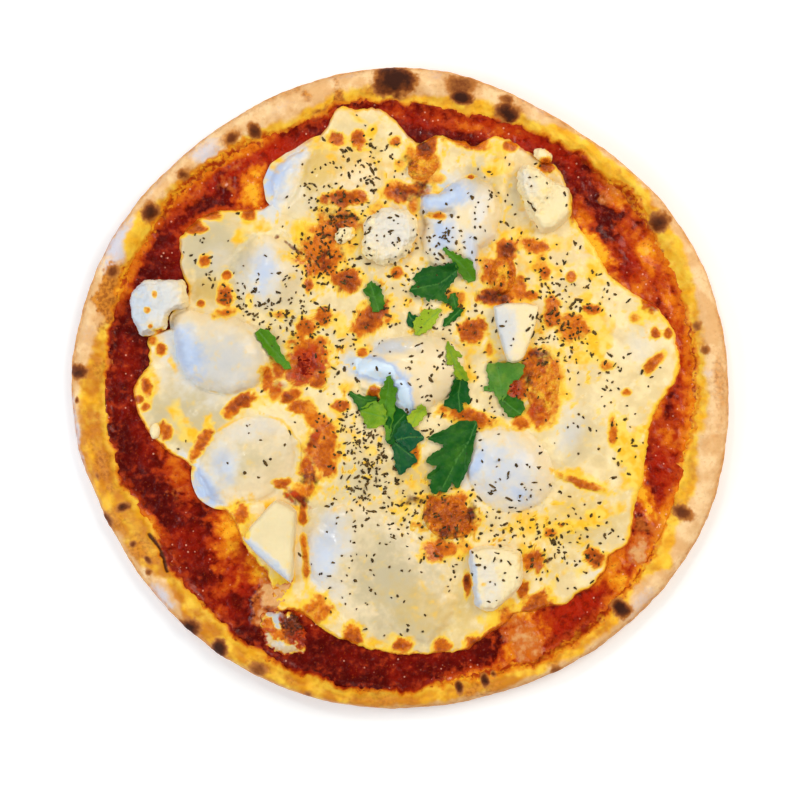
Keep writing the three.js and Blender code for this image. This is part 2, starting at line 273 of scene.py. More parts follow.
class Finish:
    # one node material; every method adds a node and gives its output

    def __init__(self, name, roughness=0.5, **sockets):
        self.material = bpy.data.materials.new(name)
        self.material.use_nodes = True
        self.tree = self.material.node_tree
        self.shader = self.tree.nodes["Principled BSDF"]
        self.place = self.add("TexCoord").outputs["Object"]
        self.colour = (1, 1, 1, 1)
        self.put("Roughness", roughness)
        for socket, value in sockets.items():
            self.put(socket.replace("_", " "), value)

    def add(self, kind, sockets=None, **properties):
        made = self.tree.nodes.new("ShaderNode" + kind)
        for name, value in properties.items():
            setattr(made, name, value)
        for name, value in (sockets or {}).items():
            self.plug(made.inputs[name], value)
        return made

    def plug(self, socket, value):
        if isinstance(value, bpy.types.NodeSocket):
            self.tree.links.new(value, socket)
        else:
            socket.default_value = value

    def put(self, name, value):
        self.plug(self.shader.inputs[name], value)

    def mask(self, name):
        return self.add("Attribute", attribute_name=name).outputs["Fac"]

    def grain(self, size, detail=3, distort=0.0):
        # noise whose lumps are about size millimetres across, from 0 to 1
        made = self.add("TexNoise", {"Vector": self.place, "Scale": 1 / (size * mm), "Detail": detail,
                                     "Distortion": distort})
        return made.outputs["Fac"]

    def cells(self, size):
        made = self.add("TexVoronoi", {"Vector": self.place, "Scale": 1 / (size * mm)})
        return made.outputs["Distance"]

    def math(self, operation, a, b=0.0, c=0.0):
        made = self.add("Math", operation=operation)
        for socket, value in zip(made.inputs, (a, b, c)):
            self.plug(socket, value)
        return made.outputs["Value"]

    def times(self, a, b):
        return self.math("MULTIPLY", a, b)

    def band(self, value, low, high, start=0.0, stop=1.0):
        made = self.add("MapRange", {"Value": value, "From Min": low, "From Max": high, "To Min": start,
                                     "To Max": stop}, interpolation_type="SMOOTHSTEP")
        return made.outputs["Result"]

    def stir(self, mask, noise, amount):
        # a mask pushed up and down by noise
        return self.math("MULTIPLY_ADD", self.math("SUBTRACT", noise, 0.5), amount, mask)

    def broken(self, name, noise, amount, low, high):
        # a painted mask whose edge is broken up by noise
        return self.band(self.stir(self.mask(name), noise, amount), low, high)

    def mix(self, factor, first, second):
        made = self.add("Mix", data_type="RGBA")
        self.plug(made.inputs["Factor"], factor)
        self.plug(made.inputs[6], first)
        self.plug(made.inputs[7], second)
        return made.outputs[2]

    def shift(self, value, low, high, first, second):
        # goes from one colour to another as a value rises
        return self.mix(self.band(value, low, high), first, second)

    def layer(self, factor, colour):
        # lays a colour over what is there
        self.colour = self.mix(factor, self.colour, colour)

    def tint(self, value, low, high, colour, most=1.0):
        # lays a colour over what is there as a value rises
        self.layer(self.band(value, low, high, 0, most), colour)

    def letLightIn(self, weight, radius, depth):
        self.put("Subsurface Weight", weight)
        self.put("Subsurface Radius", radius)
        self.put("Subsurface Scale", depth * mm)

    def bump(self, *layers):
        # layers are (height from 0 to 1, depth in millimetres)
        normal = None
        for height, depth in layers:
            made = self.add("Bump", {"Height": height, "Distance": depth * mm, "Strength": 1.0})
            if normal:
                self.plug(made.inputs["Normal"], normal)
            normal = made.outputs["Normal"]
        self.put("Normal", normal)


# camera, light and floor

view = {"fromTop": 0.9442, "x": -0.0005, "y": -0.0055, "lens": 85, "sensor": 36}
lamps = [
    # name, place, size, watts, colour
    ("windowLight", (-0.95, -0.18, 0.60), 0.8, 8.2, (0.80, 0.90, 1.0)),
    ("warmLight", (0.78, 0.42, 0.95), 0.8, 10.9, (1.0, 0.955, 0.86)),
    ("farLight", (-0.1, 1.1, 0.80), 0.8, 3.4, (1.0, 0.975, 0.93)),
    ("nearLight", (0.2, -1.1, 0.80), 0.8, 4.9, (1.0, 0.975, 0.93)),
    ("sparkLight", (-0.35, 0.55, 0.95), 0.10, 1.4, (1.0, 1.0, 1.0)),
]
ambient = {"colour": (1.0, 0.97, 0.93), "strength": 0.12}
ground = {"size": 3, "glow": (0.86, 0.93, 1.0, 1), "strength": 0.12}  # size in metres


def makeStudio():
    camera = bpy.data.objects.new("camera", bpy.data.cameras.new("camera"))
    scene.collection.objects.link(camera)
    camera.data.lens = view["lens"]
    camera.data.sensor_width = view["sensor"]
    camera.location = (view["x"], view["y"], topOf("mozzarella") * mm + view["fromTop"])
    scene.camera = camera
    for name, place, size, watts, colour in lamps:
        light = bpy.data.lights.new(name, "AREA")
        light.size = size
        light.energy = watts
        light.color = colour
        lamp = bpy.data.objects.new(name, light)
        scene.collection.objects.link(lamp)
        lamp.location = place
        lamp.rotation_euler = (-Vector(place)).to_track_quat("-Z", "Y").to_euler()
        lamp.visible_camera = False
    world = bpy.data.worlds.new("softRoom")
    world.use_nodes = True
    background = world.node_tree.nodes["Background"]
    background.inputs["Color"].default_value = (*ambient["colour"], 1)
    background.inputs["Strength"].default_value = ambient["strength"]
    scene.world = world
    scene.view_settings.view_transform = "Standard"
    bm = bmesh.new()
    bmesh.ops.create_grid(bm, x_segments=4, y_segments=4, size=ground["size"])
    mesh = toMesh(bm, "floor")
    finish = Finish("paleFloor", roughness=0.8)
    speckle = finish.grain(30, detail=4)
    finish.put("Base Color", finish.shift(speckle, 0.3, 0.7, tone(253, 253, 253), tone(255, 255, 255)))
    finish.put("Emission Color", ground["glow"])
    finish.put("Emission Strength", ground["strength"])
    mesh.materials.append(finish.material)
    floor = bpy.data.objects.new("floor", mesh)
    scene.collection.objects.link(floor)


makeStudio()
print("studio ready")


# dough

crust = {
    "rows": 74, "steps": 1050,
    "foot": 8, "undercut": 2.2,  # how far inside the edge the side starts and bulges from, in mm
    "floor": 4,  # the height of the dough under the sauce
    "swell": 0.5, "lumps": 0.3, "wrinkles": 0.08,  # relief in mm at sizes of 16, 5 and 1.6 mm
    # width in mm of the oily band beside the sauce, by angle in degrees
    "band": [
        (0, 5.5), (18, 6), (28, 10), (36, 8), (44, 10), (53, 10.5), (59, 9), (63, 6), (70, 7), (78, 9),
        (88, 5), (96, 7), (104, 6), (118, 6), (124, 5), (129, 4), (134, 6), (141, 5), (146, 11), (150, 11.5),
        (155, 5), (160, 6), (167, 5), (170, 6), (175, 10), (179, 16), (188, 15), (196, 17), (203, 17),
        (208, 17), (214, 15), (219, 8), (224, 8), (230, 16), (237, 17), (246, 17), (256, 15), (264, 9.5),
        (272, 8.5), (280, 9.5), (288, 10.5), (296, 7), (303, 8.5), (310, 8), (315, 9), (320, 3.5), (326, 13),
        (332, 6.5), (338, 8), (343, 9), (350, 6), (356, 5.5),
    ],
    # how strongly oil gathers where the crust meets the sauce, by angle
    "rimOil": [
        (0, 0.9), (20, 0.8), (28, 1), (38, 0.6), (44, 1), (49, 0.25), (60, 0.15), (75, 0.35), (90, 0.2),
        (105, 0.3), (114, 0.4), (121, 0.8), (135, 1), (142, 0.6), (150, 0.9), (158, 0.9), (166, 0.3),
        (180, 0.2), (200, 0.4), (208, 1), (214, 0.3), (230, 0.3), (255, 0.1), (275, 0.3), (284, 1),
        (292, 0.6), (300, 0.5), (312, 0.6), (320, 1), (335, 1), (342, 0.5), (350, 1),
    ],
    # how far sauce has climbed up it, in mm, by angle
    "climb": [
        (0, 0.6), (16, 0.4), (21, -2.4), (25, -3), (29, -1.4), (33, 1.2), (40, 1.6), (48, 0), (62, -0.4),
        (75, -0.4), (88, -1.6), (96, 0.4), (101, 0.6), (107, -1.6), (114, -0.6), (122, 1.4), (130, 2.2),
        (138, 1.6), (144, 0), (150, -1.4), (158, 0.4), (170, 0.4), (186, -1.2), (194, -0.4), (200, 0.4),
        (204, -1), (208, -2.2), (211, 0.6), (213, 2.2), (217, 2.4), (221, 0), (235, 0), (250, -0.4),
        (258, -1.2), (266, -0.4), (282, 0.6), (296, 1.8), (305, 1.4), (318, 1.8), (328, 1.4), (338, -0.6),
        (344, -1), (351, 0.2),
    ],
    # how much deeper and browner it is, by angle, most round the left and lower side
    "ripe": [
        (0, 0), (60, 0.1), (100, 0), (150, 0.1), (172, 0.5), (180, 1), (215, 1), (232, 0.6), (250, 0.6),
        (266, 0.8), (292, 0.9), (308, 0.3), (330, 0),
    ],
    # marks on the rim: angle in degrees, radius, length along it, width across it, strength
    "char": [
        (91.5, 153.5, 17, 13, 1), (79, 155.5, 16, 9, 0.5), (78.3, 148.4, 9, 5, 1), (79, 152, 12, 8, 0.5),
        (69, 147.8, 10, 8, 0.95), (70, 153, 7, 5, 0.5), (33, 153.5, 8, 8.5, 0.8), (28, 146.5, 3, 4, 0.8),
        (7.3, 152.5, 4, 4, 0.5), (12, 151, 5, 4, 0.5), (119.5, 148, 5, 7, 0.8), (124, 151, 7, 4.5, 0.6),
        (135.5, 152.5, 5, 5.5, 0.6), (145, 153, 8, 7, 0.85), (158, 155, 6, 4, 0.55), (177, 160.5, 7, 9, 0.85),
        (182, 161.5, 3, 2, 0.6), (204, 160, 9, 4, 0.7), (203, 151, 4, 6, 0.85), (228.5, 158.5, 9, 7.5, 1),
        (235, 157.5, 8.5, 7, 0.95), (243, 156, 7, 6, 0.5), (281, 151.5, 3, 5, 0.85),
        (286, 151.3, 3.5, 6.5, 0.9), (288, 149.5, 2.5, 3, 0.7), (299, 159.5, 5, 4, 0.5),
        (315, 154.3, 7, 8.5, 1), (336.5, 153, 6, 10, 0.7), (210, 154, 3, 3, 0.6), (214, 152, 4, 2, 0.6),
        (216, 155, 3, 3, 0.5), (196, 157, 4, 2, 0.5), (253, 158.5, 4, 4, 0.45),
    ],
    # browner patches; those round the left side are partly painted shade, as that side falls darker
    "tan": [
        (1, 158, 34, 8, 0.6), (112, 158, 34, 6, 0.55), (176, 150, 18, 9, 0.6), (266, 154.5, 44, 7, 0.6),
        (190, 159, 24, 5, 0.5), (162.5, 152, 22, 13, 1.9), (303, 156, 24, 6, 0.4), (145, 152, 10, 10, 0.4),
        (102, 148, 5, 14, 1.4), (106, 144.5, 12, 4, 1.2), (108, 153.5, 5, 7, 0.8), (96, 149, 16, 4, 0.5),
        (135, 150, 8, 8, 0.7), (146, 148, 8, 6, 0.7), (124, 150, 12, 7, 0.8), (158, 153, 8, 9, 0.8),
        (174, 163, 14, 4, 0.8), (186, 156, 20, 9, 0.45), (195, 153.5, 30, 11, 0.8), (205, 157, 16, 9, 0.7),
        (211, 152, 24, 12, 0.7), (219, 159.5, 7, 5, 0.45), (243, 155.5, 12, 8, 0.7), (249, 155, 9, 6, 0.6),
        (267, 157.5, 9, 5, 0.5), (260, 160.5, 60, 2.5, 0.4), (286, 158, 14, 6, 0.7), (285, 153, 26, 13, 0.65),
        (299, 158, 8, 7, 0.7), (326, 163, 8, 5, 0.5), (338, 152, 12, 9, 0.5), (353, 158, 24, 9, 0.35),
        (2, 158, 20, 8, 0.45), (10, 151.5, 22, 4, 0.4), (84, 152, 10, 5, 0.4), (0, 163, 60, 2, 0.3),
        (68, 153, 14, 7, 0.4), (91, 153, 24, 18, 0.4), (79, 153, 22, 16, 0.4), (315, 154, 13, 14, 0.4),
        (38, 158, 16, 3, 0.4), (230, 157, 20, 11, 0.4), (128, 156, 10, 5, 0.3), (20, 160, 30, 3, 0.3),
        (118, 155, 14, 5, 0.3), (45, 152, 6, 6, 0.35),
    ],
    "flour": [
        (52, 159, 34, 3, 0.6), (84, 157, 12, 7, 0.3), (113, 152, 14, 6, 0.3), (129, 153.5, 14, 9, 0.75),
        (153, 157, 22, 12, 1), (190, 163, 46, 4, 0.9), (221, 158, 15, 8, 0.7), (318, 159, 20, 8, 0.45),
        (3, 153, 4, 8, 0.4), (64, 156, 16, 6, 0.35), (140, 158, 30, 4, 0.3), (170, 158, 12, 8, 0.25),
        (340, 161, 40, 6, 0.15), (100, 158, 20, 5, 0.25),
    ],
    # thin wrinkles: grooves in the relief, darkened with painted shade
    "wrinkleLines": [
        ([(-125.5, -72.5), (-121.5, -78), (-118, -85), (-116.5, -91)], 2.3, 1.0),
        ([(-97, 108), (-90, 104), (-83, 98)], 3.2, 0.7),
    ],
}

crustReach = reachOf("crust", (0, 0))
sauceReach = reachOf("tomato_sauce", (0, 0))
cheeseReach = reachOf("mozzarella", (0, 0))


def rimTopAt(angle):
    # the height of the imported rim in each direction
    x, y, z = nodePoints("crust").T
    steps = 96
    sector = np.round(np.arctan2(y, x) / (2 * math.pi) * steps).astype(int) % steps
    tops = np.array([z[sector == step].max() for step in range(steps)] * 3)
    return np.interp(angle / (2 * math.pi) * steps, np.arange(-steps, 2 * steps), tops)


def alongCurve(corners, share):
    # a smooth curve through columns of corners, read at a share of its corners
    last = len(corners) - 1
    part = np.clip(share * last, 0, last - 1e-6)
    i = part.astype(int)
    t = part - i
    stack = np.stack(corners)
    a, b, c, d = [stack[np.clip(i + step, 0, last), np.arange(len(i))] for step in (-1, 0, 1, 2)]
    return b + 0.5 * t * (c - a + t * (2 * a - 5 * b + 4 * c - d + t * (3 * (b - c) + d - a)))


def byAngle(steps, x, y):
    # a value given at some angles in degrees, read at points
    corners, values = zip(*steps)
    return np.interp(np.degrees(np.arctan2(y, x)) % 360, corners, values, period=360)


def onRim(marks):
    # marks given by angle and radius, as marks in x and y
    return [(radius * math.cos(math.radians(angle)), radius * math.sin(math.radians(angle)), length, width,
             angle + 90, strength) for angle, radius, length, width, strength in marks]


def makeCrust():
    mesh, row, angle, level = ringMesh("crust_baked", crust["rows"], crust["steps"])
    outer, inner, top = crustReach(angle), sauceReach(angle), rimTopAt(angle)
    ringX, ringY = 150 * np.cos(angle), 150 * np.sin(angle)
    inner = inner + 1.5 * cloudy(8, 12, ringX, ringY) + 0.6 * cloudy(2.6, 13, ringX, ringY)
    across = lambda share: inner + share * (outer - inner)
    side = [outer - crust["foot"], outer - crust["undercut"], outer]
    radii = side + [across(0.86), across(0.6), across(0.32), inner - 1, inner - 8]
    floor = 0 * top + crust["floor"]
    heights = [0 * top, top * 0.16, top * 0.48, top * 0.86, top, top * 0.84, floor + 1.2, floor]
    share = np.interp(row / (crust["rows"] - 1), [0, 0.06, 0.94, 1], [0, 0.12, 0.88, 1])
    radius, height = alongCurve(radii, share), alongCurve(heights, share)
    pole = level != 0
    radius = np.where(pole, 0, radius)
    height = np.where(pole, np.where(level < 0, 0, floor), np.maximum(height, 0))
    x, y = radius * np.cos(angle), radius * np.sin(angle)
    placePoints(mesh, x, y, height)
    nx, ny, nz = pointsOf(mesh, "normal").T
    char = marksAt(x, y, onRim(crust["char"]), seed=21, ragged=0.3, soft=0.85)
    char *= smooth(4, 9.5, height + 1.2 * cloudy(4, 14, x, y))
    lines = linesAt(x, y, crust["wrinkleLines"])
    relief = (crust["swell"] * cloudy(16, 1, x, y, height) + crust["lumps"] * cloudy(5, 2, x, y, height)
              + crust["wrinkles"] * cloudy(1.6, 3, x, y, height) + 0.9 * char - 0.8 * lines)
    clumps = smooth(8, 3, radius - inner) * smooth(-6, -1.5, radius - inner)
    relief += clumps * (0.7 * cloudy(4.2, 15, x, y) + 0.35 * cloudy(1.8, 16, x, y))
    relief *= smooth(0.2, 4, height) * np.where(pole, 0, 1)
    x, y, height = x + relief * nx, y + relief * ny, height + relief * nz
    placePoints(mesh, x, y, height)
    past = radius - inner  # how far out from the sauce, in mm
    band = byAngle(crust["band"], x, y)
    oil = 1 - smooth(-2.6, 3.0, past - band + 1.6 * cloudy(9, 4, x, y) + 0.5 * cloudy(2.6, 5, x, y))
    climb = byAngle(crust["climb"], x, y)
    near = 1 - smooth(-0.6, 5.6, past - 1.3 * cloudy(13, 6, x, y) - 0.8 * cloudy(4, 8, x, y) - climb)
    tan = marksAt(x, y, onRim(crust["tan"]), seed=23, ragged=0.55, soft=0.9)
    gold = byAngle(crust["rimOil"], x, y) + 0.3 * cloudy(7, 7, x, y)
    ripe = smooth(-0.2, 1.1, 1.1 * cloudy(7, 9, x, y) + byAngle(crust["ripe"], x, y) - 0.15)
    # the mask of browner patches also carries painted shade: darker towards the foot of the wall and at the
    # outer edge
    paint(mesh, oil=oil * smooth(-0.2, 2, nz + 1), near=near, char=char, lines=lines, gold=gold,
          tan=np.maximum(tan, 0.6 * smooth(6, 1, height) + 0.6 * smooth(4.5, 0.5, outer - radius)),
          flour=marksAt(x, y, onRim(crust["flour"]), seed=24, ragged=0.4, soft=0.9),
          ripe=ripe * smooth(1.5, 5.5, past))
    return mesh


def crustFinish():
    finish = Finish("bakedDough", roughness=0.62, Specular_IOR_Level=0.15)
    patchy = finish.grain(9, detail=4)
    blotch = finish.grain(4, detail=4)
    fine = finish.grain(1.7, detail=4)
    speck = finish.grain(0.8, detail=3)
    finish.colour = finish.shift(patchy, 0.36, 0.62, tone(252, 212, 158), tone(234, 182, 122))
    finish.layer(finish.times(finish.mask("ripe"), 0.55), tone(224, 172, 112))
    finish.tint(fine, 0.5, 0.75, tone(220, 162, 98), 0.4)
    finish.layer(finish.broken("flour", fine, 0.45, 0.1, 0.9), tone(216, 209, 216))
    oil = finish.broken("oil", blotch, 0.5, 0.12, 0.9)
    oily = finish.shift(patchy, 0.36, 0.66, tone(255, 208, 66), tone(250, 182, 36))
    oily = finish.mix(finish.times(finish.mask("ripe"), 0.85), oily, tone(202, 114, 18))
    oily = finish.mix(finish.band(blotch, 0.52, 0.75, 0, 0.4), oily, tone(226, 138, 24))
    finish.layer(oil, oily)
    # browner patches, partly painted shade
    tanned = finish.shift(fine, 0.35, 0.68, tone(222, 142, 46), tone(172, 96, 28))
    finish.layer(finish.broken("tan", blotch, 0.8, 0.15, 1.0), tanned)
    finish.tint(speck, 0.64, 0.78, tone(176, 104, 44), 0.35)
    near = finish.stir(finish.stir(finish.mask("near"), blotch, 0.3), fine, 0.25)
    finish.tint(near, 0.3, 0.62, tone(234, 142, 24), 0.9)
    gold = finish.broken("gold", blotch, 0.8, 0.2, 0.9)
    mottle = finish.band(finish.grain(3.0, detail=4), 0.42, 0.6)
    pale = finish.mix(mottle, tone(222, 116, 14), tone(252, 186, 40))
    deep = finish.mix(mottle, tone(176, 60, 8), tone(238, 146, 24))
    finish.tint(near, 0.56, 0.84, finish.mix(gold, tone(190, 66, 8), pale))
    finish.tint(near, 0.78, 0.98, finish.mix(gold, tone(136, 22, 3), deep))
    bits = finish.times(finish.band(fine, 0.58, 0.7, 0, 0.8), finish.band(near, 0.4, 0.7))
    finish.layer(bits, tone(150, 46, 8))
    # painted shade in the wrinkles
    finish.layer(finish.broken("lines", speck, 0.5, 0.3, 0.9), tone(82, 34, 6))
    char = finish.stir(finish.mask("char"), fine, 0.3)
    finish.tint(char, 0.04, 0.34, tone(190, 118, 52))
    finish.tint(char, 0.24, 0.6, tone(120, 58, 20))
    finish.tint(char, 0.5, 0.95, tone(60, 25, 10))
    finish.put("Base Color", finish.colour)
    finish.put("Roughness", finish.band(finish.math("SUBTRACT", oil, char), 0, 1, 0.72, 0.4))
    finish.letLightIn(0.06, (1.0, 0.5, 0.25), 1.2)
    finish.bump((fine, 0.25), (speck, 0.10))
    return finish.material


publish(makeCrust(), crustFinish(), ["crust"])
print("dough shaped")


# sauce

sauce = {
    "rows": 64, "steps": 1000, "inside": 0.6,  # the top is fine outside this share of the way out
    "sunk": 0.8,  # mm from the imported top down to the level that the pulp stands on
    "tuck": 2.2,  # mm that it runs in under the crust
    "pulp": 0.42, "bits": 0.24,  # relief in mm at sizes of 6 and 2 mm
    # where oil makes it orange: middle x, y, length, width, turn, strength
    "oil": [
        (-74, 101, 13, 24, -10, 1), (-66, 88, 10, 8, 0, 0.8), (92, 82, 10, 26, 20, 0.7),
        (98, 70, 9, 30, 36, 1.3), (106, 70, 22, 14, -40, 0.3), (124, 68, 20, 10, -56, 0.9),
        (118, 50, 9, 12, 0, 0.6), (128, 46, 6, 9, 0, 0.2), (132, 53, 10, 18, 30, 0.7),
        (119, -47, 8, 34, 20, 1.3), (-106, -52, 10, 16, 20, 0.45), (32, -141, 12, 6, 12, 0.3),
        (134, -24, 12, 18, 0, 0.6), (106, -88, 24, 14, 40, 0.8), (60, -112, 20, 12, 25, 1.0),
        (-52, -104, 18, 12, -30, 0.9), (112, 44, 9, 22, 30, 1.0), (130, 34, 8, 16, 10, 0.5),
        (-70, -92, 12, 22, 40, 1), (-96, -56, 12, 12, 0, 0.35), (107, 96, 15, 7, -45, 0.95),
        (92, 76, 12, 10, 0, 0.6), (120, 72, 26, 12, -50, 0.6), (137, 40, 12, 30, 15, 0.6),
        (143, 10, 6, 60, 0, 0.6), (142, -25, 7, 40, 8, 0.7), (141, -54, 7, 26, 22, 0.7),
        (120, -82, 14, 34, 38, 0.7), (110, -97, 14, 14, 45, 0.9), (88, -118, 20, 5, 32, 0.2),
        (62, -125, 20, 26, -20, 0.9), (-112, -42, 12, 26, 15, 0.6), (-85, -72, 18, 30, -8, 1),
        (-82, -96, 3, 12, -10, 0.6), (122, 52, 12, 20, 20, 0.5), (40, 131, 40, 7, -10, 0.55),
        (-74, 119, 14, 5, 30, 0.3), (-88, 118, 26, 12, 38, 0.7), (-104, 98, 20, 10, 45, 0.5),
        (34, -145, 26, 6, 12, 0.6), (-91, -112, 5, 10, -35, 0.5), (-88, -98, 6, 20, -38, 0.55),
        (-120, -30, 6, 14, 0, 0.5), (-20, 138, 40, 5, 0, 0.5), (134, 46, 9, 26, 16, 0.8),
        (125, 61, 9, 16, 28, 0.7), (18, 136, 20, 4, -6, 0.2), (90, -128, 12, 6, 30, 0.2),
        (126, -64, 6, 22, 24, 0.6), (-46, 137, 24, 4, 8, 0.4),
    ],
    # how strongly oil gathers beside the cheese, by angle
    "seep": [
        (0, 0.9), (30, 0.8), (44, 0.9), (50, 0.3), (70, 0.1), (110, 0.15), (124, 0.5), (140, 0.6), (150, 0.1),
        (195, 0.1), (205, 0.8), (235, 0.8), (245, 0.5), (252, 0.1), (285, 0.15), (293, 0.8), (310, 0.7),
        (320, 0.9), (345, 0.8),
    ],
    # where it is brighter red
    "bright": [
        (80, 119, 34, 12, -38, 0.7), (60, 126, 60, 16, -26, 0.9), (20, 134, 60, 12, -8, 0.55),
        (-70, 118, 60, 20, 28, 0.9), (-98, 103, 30, 12, 42, 0.6), (134, -40, 20, 60, 15, 0.8),
        (110, -92, 50, 22, 45, 0.6), (84, -113, 46, 16, 36, 1.1), (-83, -95, 40, 12, -56, 0.8),
        (60, -136, 60, 14, 22, 0.6), (-135, 10, 14, 40, 0, 0.3), (-70, -120, 40, 18, -30, 0.25),
        (0, -146, 60, 6, 0, 0.25), (-88, -88, 40, 70, 38, 0.45), (120, 62, 34, 26, -50, 0.8),
        (140, 10, 10, 60, 0, 0.7), (-112, -42, 20, 36, 10, 0.5), (-127, 40, 10, 20, 0, 0.3),
    ],
    "crumbly": [
        (61, -125, 34, 13, -64, 0.85), (125, -70, 26, 11, -29, 0.5), (104, 98, 14, 7, 45, 0.7),
        (-88, 103, 12, 8, -50, 0.45), (-63, -103, 20, 14, 65, 1.3), (-71, -113, 7, 14, 0, 0.8),
        (140, -22, 7, 16, 8, 0.3), (-112, -50, 12, 10, 20, 0.35), (-84, 111, 12, 4, 30, 0.4),
        (118, -83, 9, 9, 40, 1.15), (121, -78, 6, 8, 40, 0.9), (112, -90, 8, 6, 0, 0.4),
    ],
}

sauceLevel = topOf("tomato_sauce") - sauce["sunk"]


def sauceHeight(x, y):
    return (sauceLevel + sauce["pulp"] * cloudy(6, 41, x, y) + sauce["bits"] * cloudy(2, 42, x, y)
            + 1.3 * marksAt(x, y, sauce["crumbly"], seed=43, ragged=0.5) * (1 + 0.6 * cloudy(2.2, 44, x, y)))


def makeSauce():
    mesh, row, angle, level = ringMesh("sauce_pulp", sauce["rows"], sauce["steps"])
    edge = sauceReach(angle) + sauce["tuck"]
    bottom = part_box("tomato_sauce")[0].z / mm
    share = np.clip((row - 2) / (sauce["rows"] - 3), 0, 1)
    radius = edge * (1 + share * (sauce["inside"] - 1))
    radius = np.where(row == 0, edge - 3, np.where(row == 1, edge, radius))
    radius = np.where(level != 0, 0, radius)
    x, y = radius * np.cos(angle), radius * np.sin(angle)
    top = sauceHeight(x, y) + 1.0 * smooth(5, 0.5, edge - radius)
    height = np.where((row < 2) & (level <= 0), bottom, top)
    height = np.where(row == 1, bottom + 0.4, height)
    height = np.where(level > 0, sauceLevel, height)
    placePoints(mesh, x, y, height)
    rim = 1 - smooth(1.0, 8.5, edge - radius + 2.0 * cloudy(6, 47, x, y) + 0.8 * cloudy(2.6, 49, x, y))
    inner = 1 - smooth(-1, 5, radius - cheeseReach(angle) + 1.6 * cloudy(5, 48, x, y))
    gathered = np.maximum(rim * byAngle(crust["rimOil"], x, y), inner * byAngle(sauce["seep"], x, y))
    paint(mesh, oil=np.maximum(marksAt(x, y, sauce["oil"], seed=45, ragged=0.5, soft=0.95), 0.85 * gathered),
          bright=marksAt(x, y, sauce["bright"], seed=46, ragged=0.5, soft=0.95),
          crumbly=marksAt(x, y, sauce["crumbly"], seed=43, ragged=0.5, soft=0.8))
    return mesh


def sauceFinish():
    finish = Finish("tomatoSauce", roughness=0.3, Specular_IOR_Level=0.12, Coat_Weight=0.17,
                    Coat_Roughness=0.07)
    broad = finish.grain(13, detail=3)
    pulp = finish.grain(3.4, detail=5, distort=0.2)
    fibre = finish.grain(1.1, detail=4)
    dark = finish.shift(broad, 0.36, 0.66, tone(80, 4, 1), tone(120, 12, 1))
    finish.colour = finish.mix(finish.broken("bright", broad, 0.8, 0.1, 1.0), dark, tone(172, 32, 3))
    finish.tint(pulp, 0.5, 0.74, tone(184, 50, 6), 0.5)
    finish.layer(finish.band(pulp, 0.28, 0.46, 0.55, 0), tone(74, 6, 1))
    oil = finish.stir(finish.stir(finish.mask("oil"), pulp, 0.75), broad, 0.4)
    finish.tint(oil, 0.08, 0.42, tone(184, 58, 6), 0.9)
    finish.tint(oil, 0.36, 0.74, tone(222, 112, 12))
    finish.tint(oil, 0.68, 1.1, tone(250, 176, 34))
    finish.tint(fibre, 0.58, 0.74, tone(206, 92, 22), 0.3)
    finish.layer(finish.band(fibre, 0.28, 0.42, 0.5, 0), tone(78, 10, 2))
    crumb = finish.stir(finish.mask("crumbly"), pulp, 1.3)
    finish.tint(crumb, 0.2, 0.7, tone(204, 104, 34), 0.8)
    finish.tint(crumb, 0.6, 1.2, tone(228, 168, 104))
    # small pale dots: painted glints on the wet sauce
    paintedGlints = finish.band(finish.cells(4.0), 0.08, 0.15, 0.7, 0)
    finish.layer(finish.times(paintedGlints, finish.band(broad, 0.42, 0.56)), tone(238, 168, 140))
    finish.put("Base Color", finish.colour)
    finish.put("Roughness", finish.band(pulp, 0.3, 0.7, 0.16, 0.42))
    finish.bump((pulp, 0.55), (fibre, 0.2))
    return finish.material


publish(makeSauce(), sauceFinish(), ["tomato_sauce"])
print("sauce spread")


# melted cheese: one skin runs over the sheet, the dollops and the curds, and each piece takes its part of it

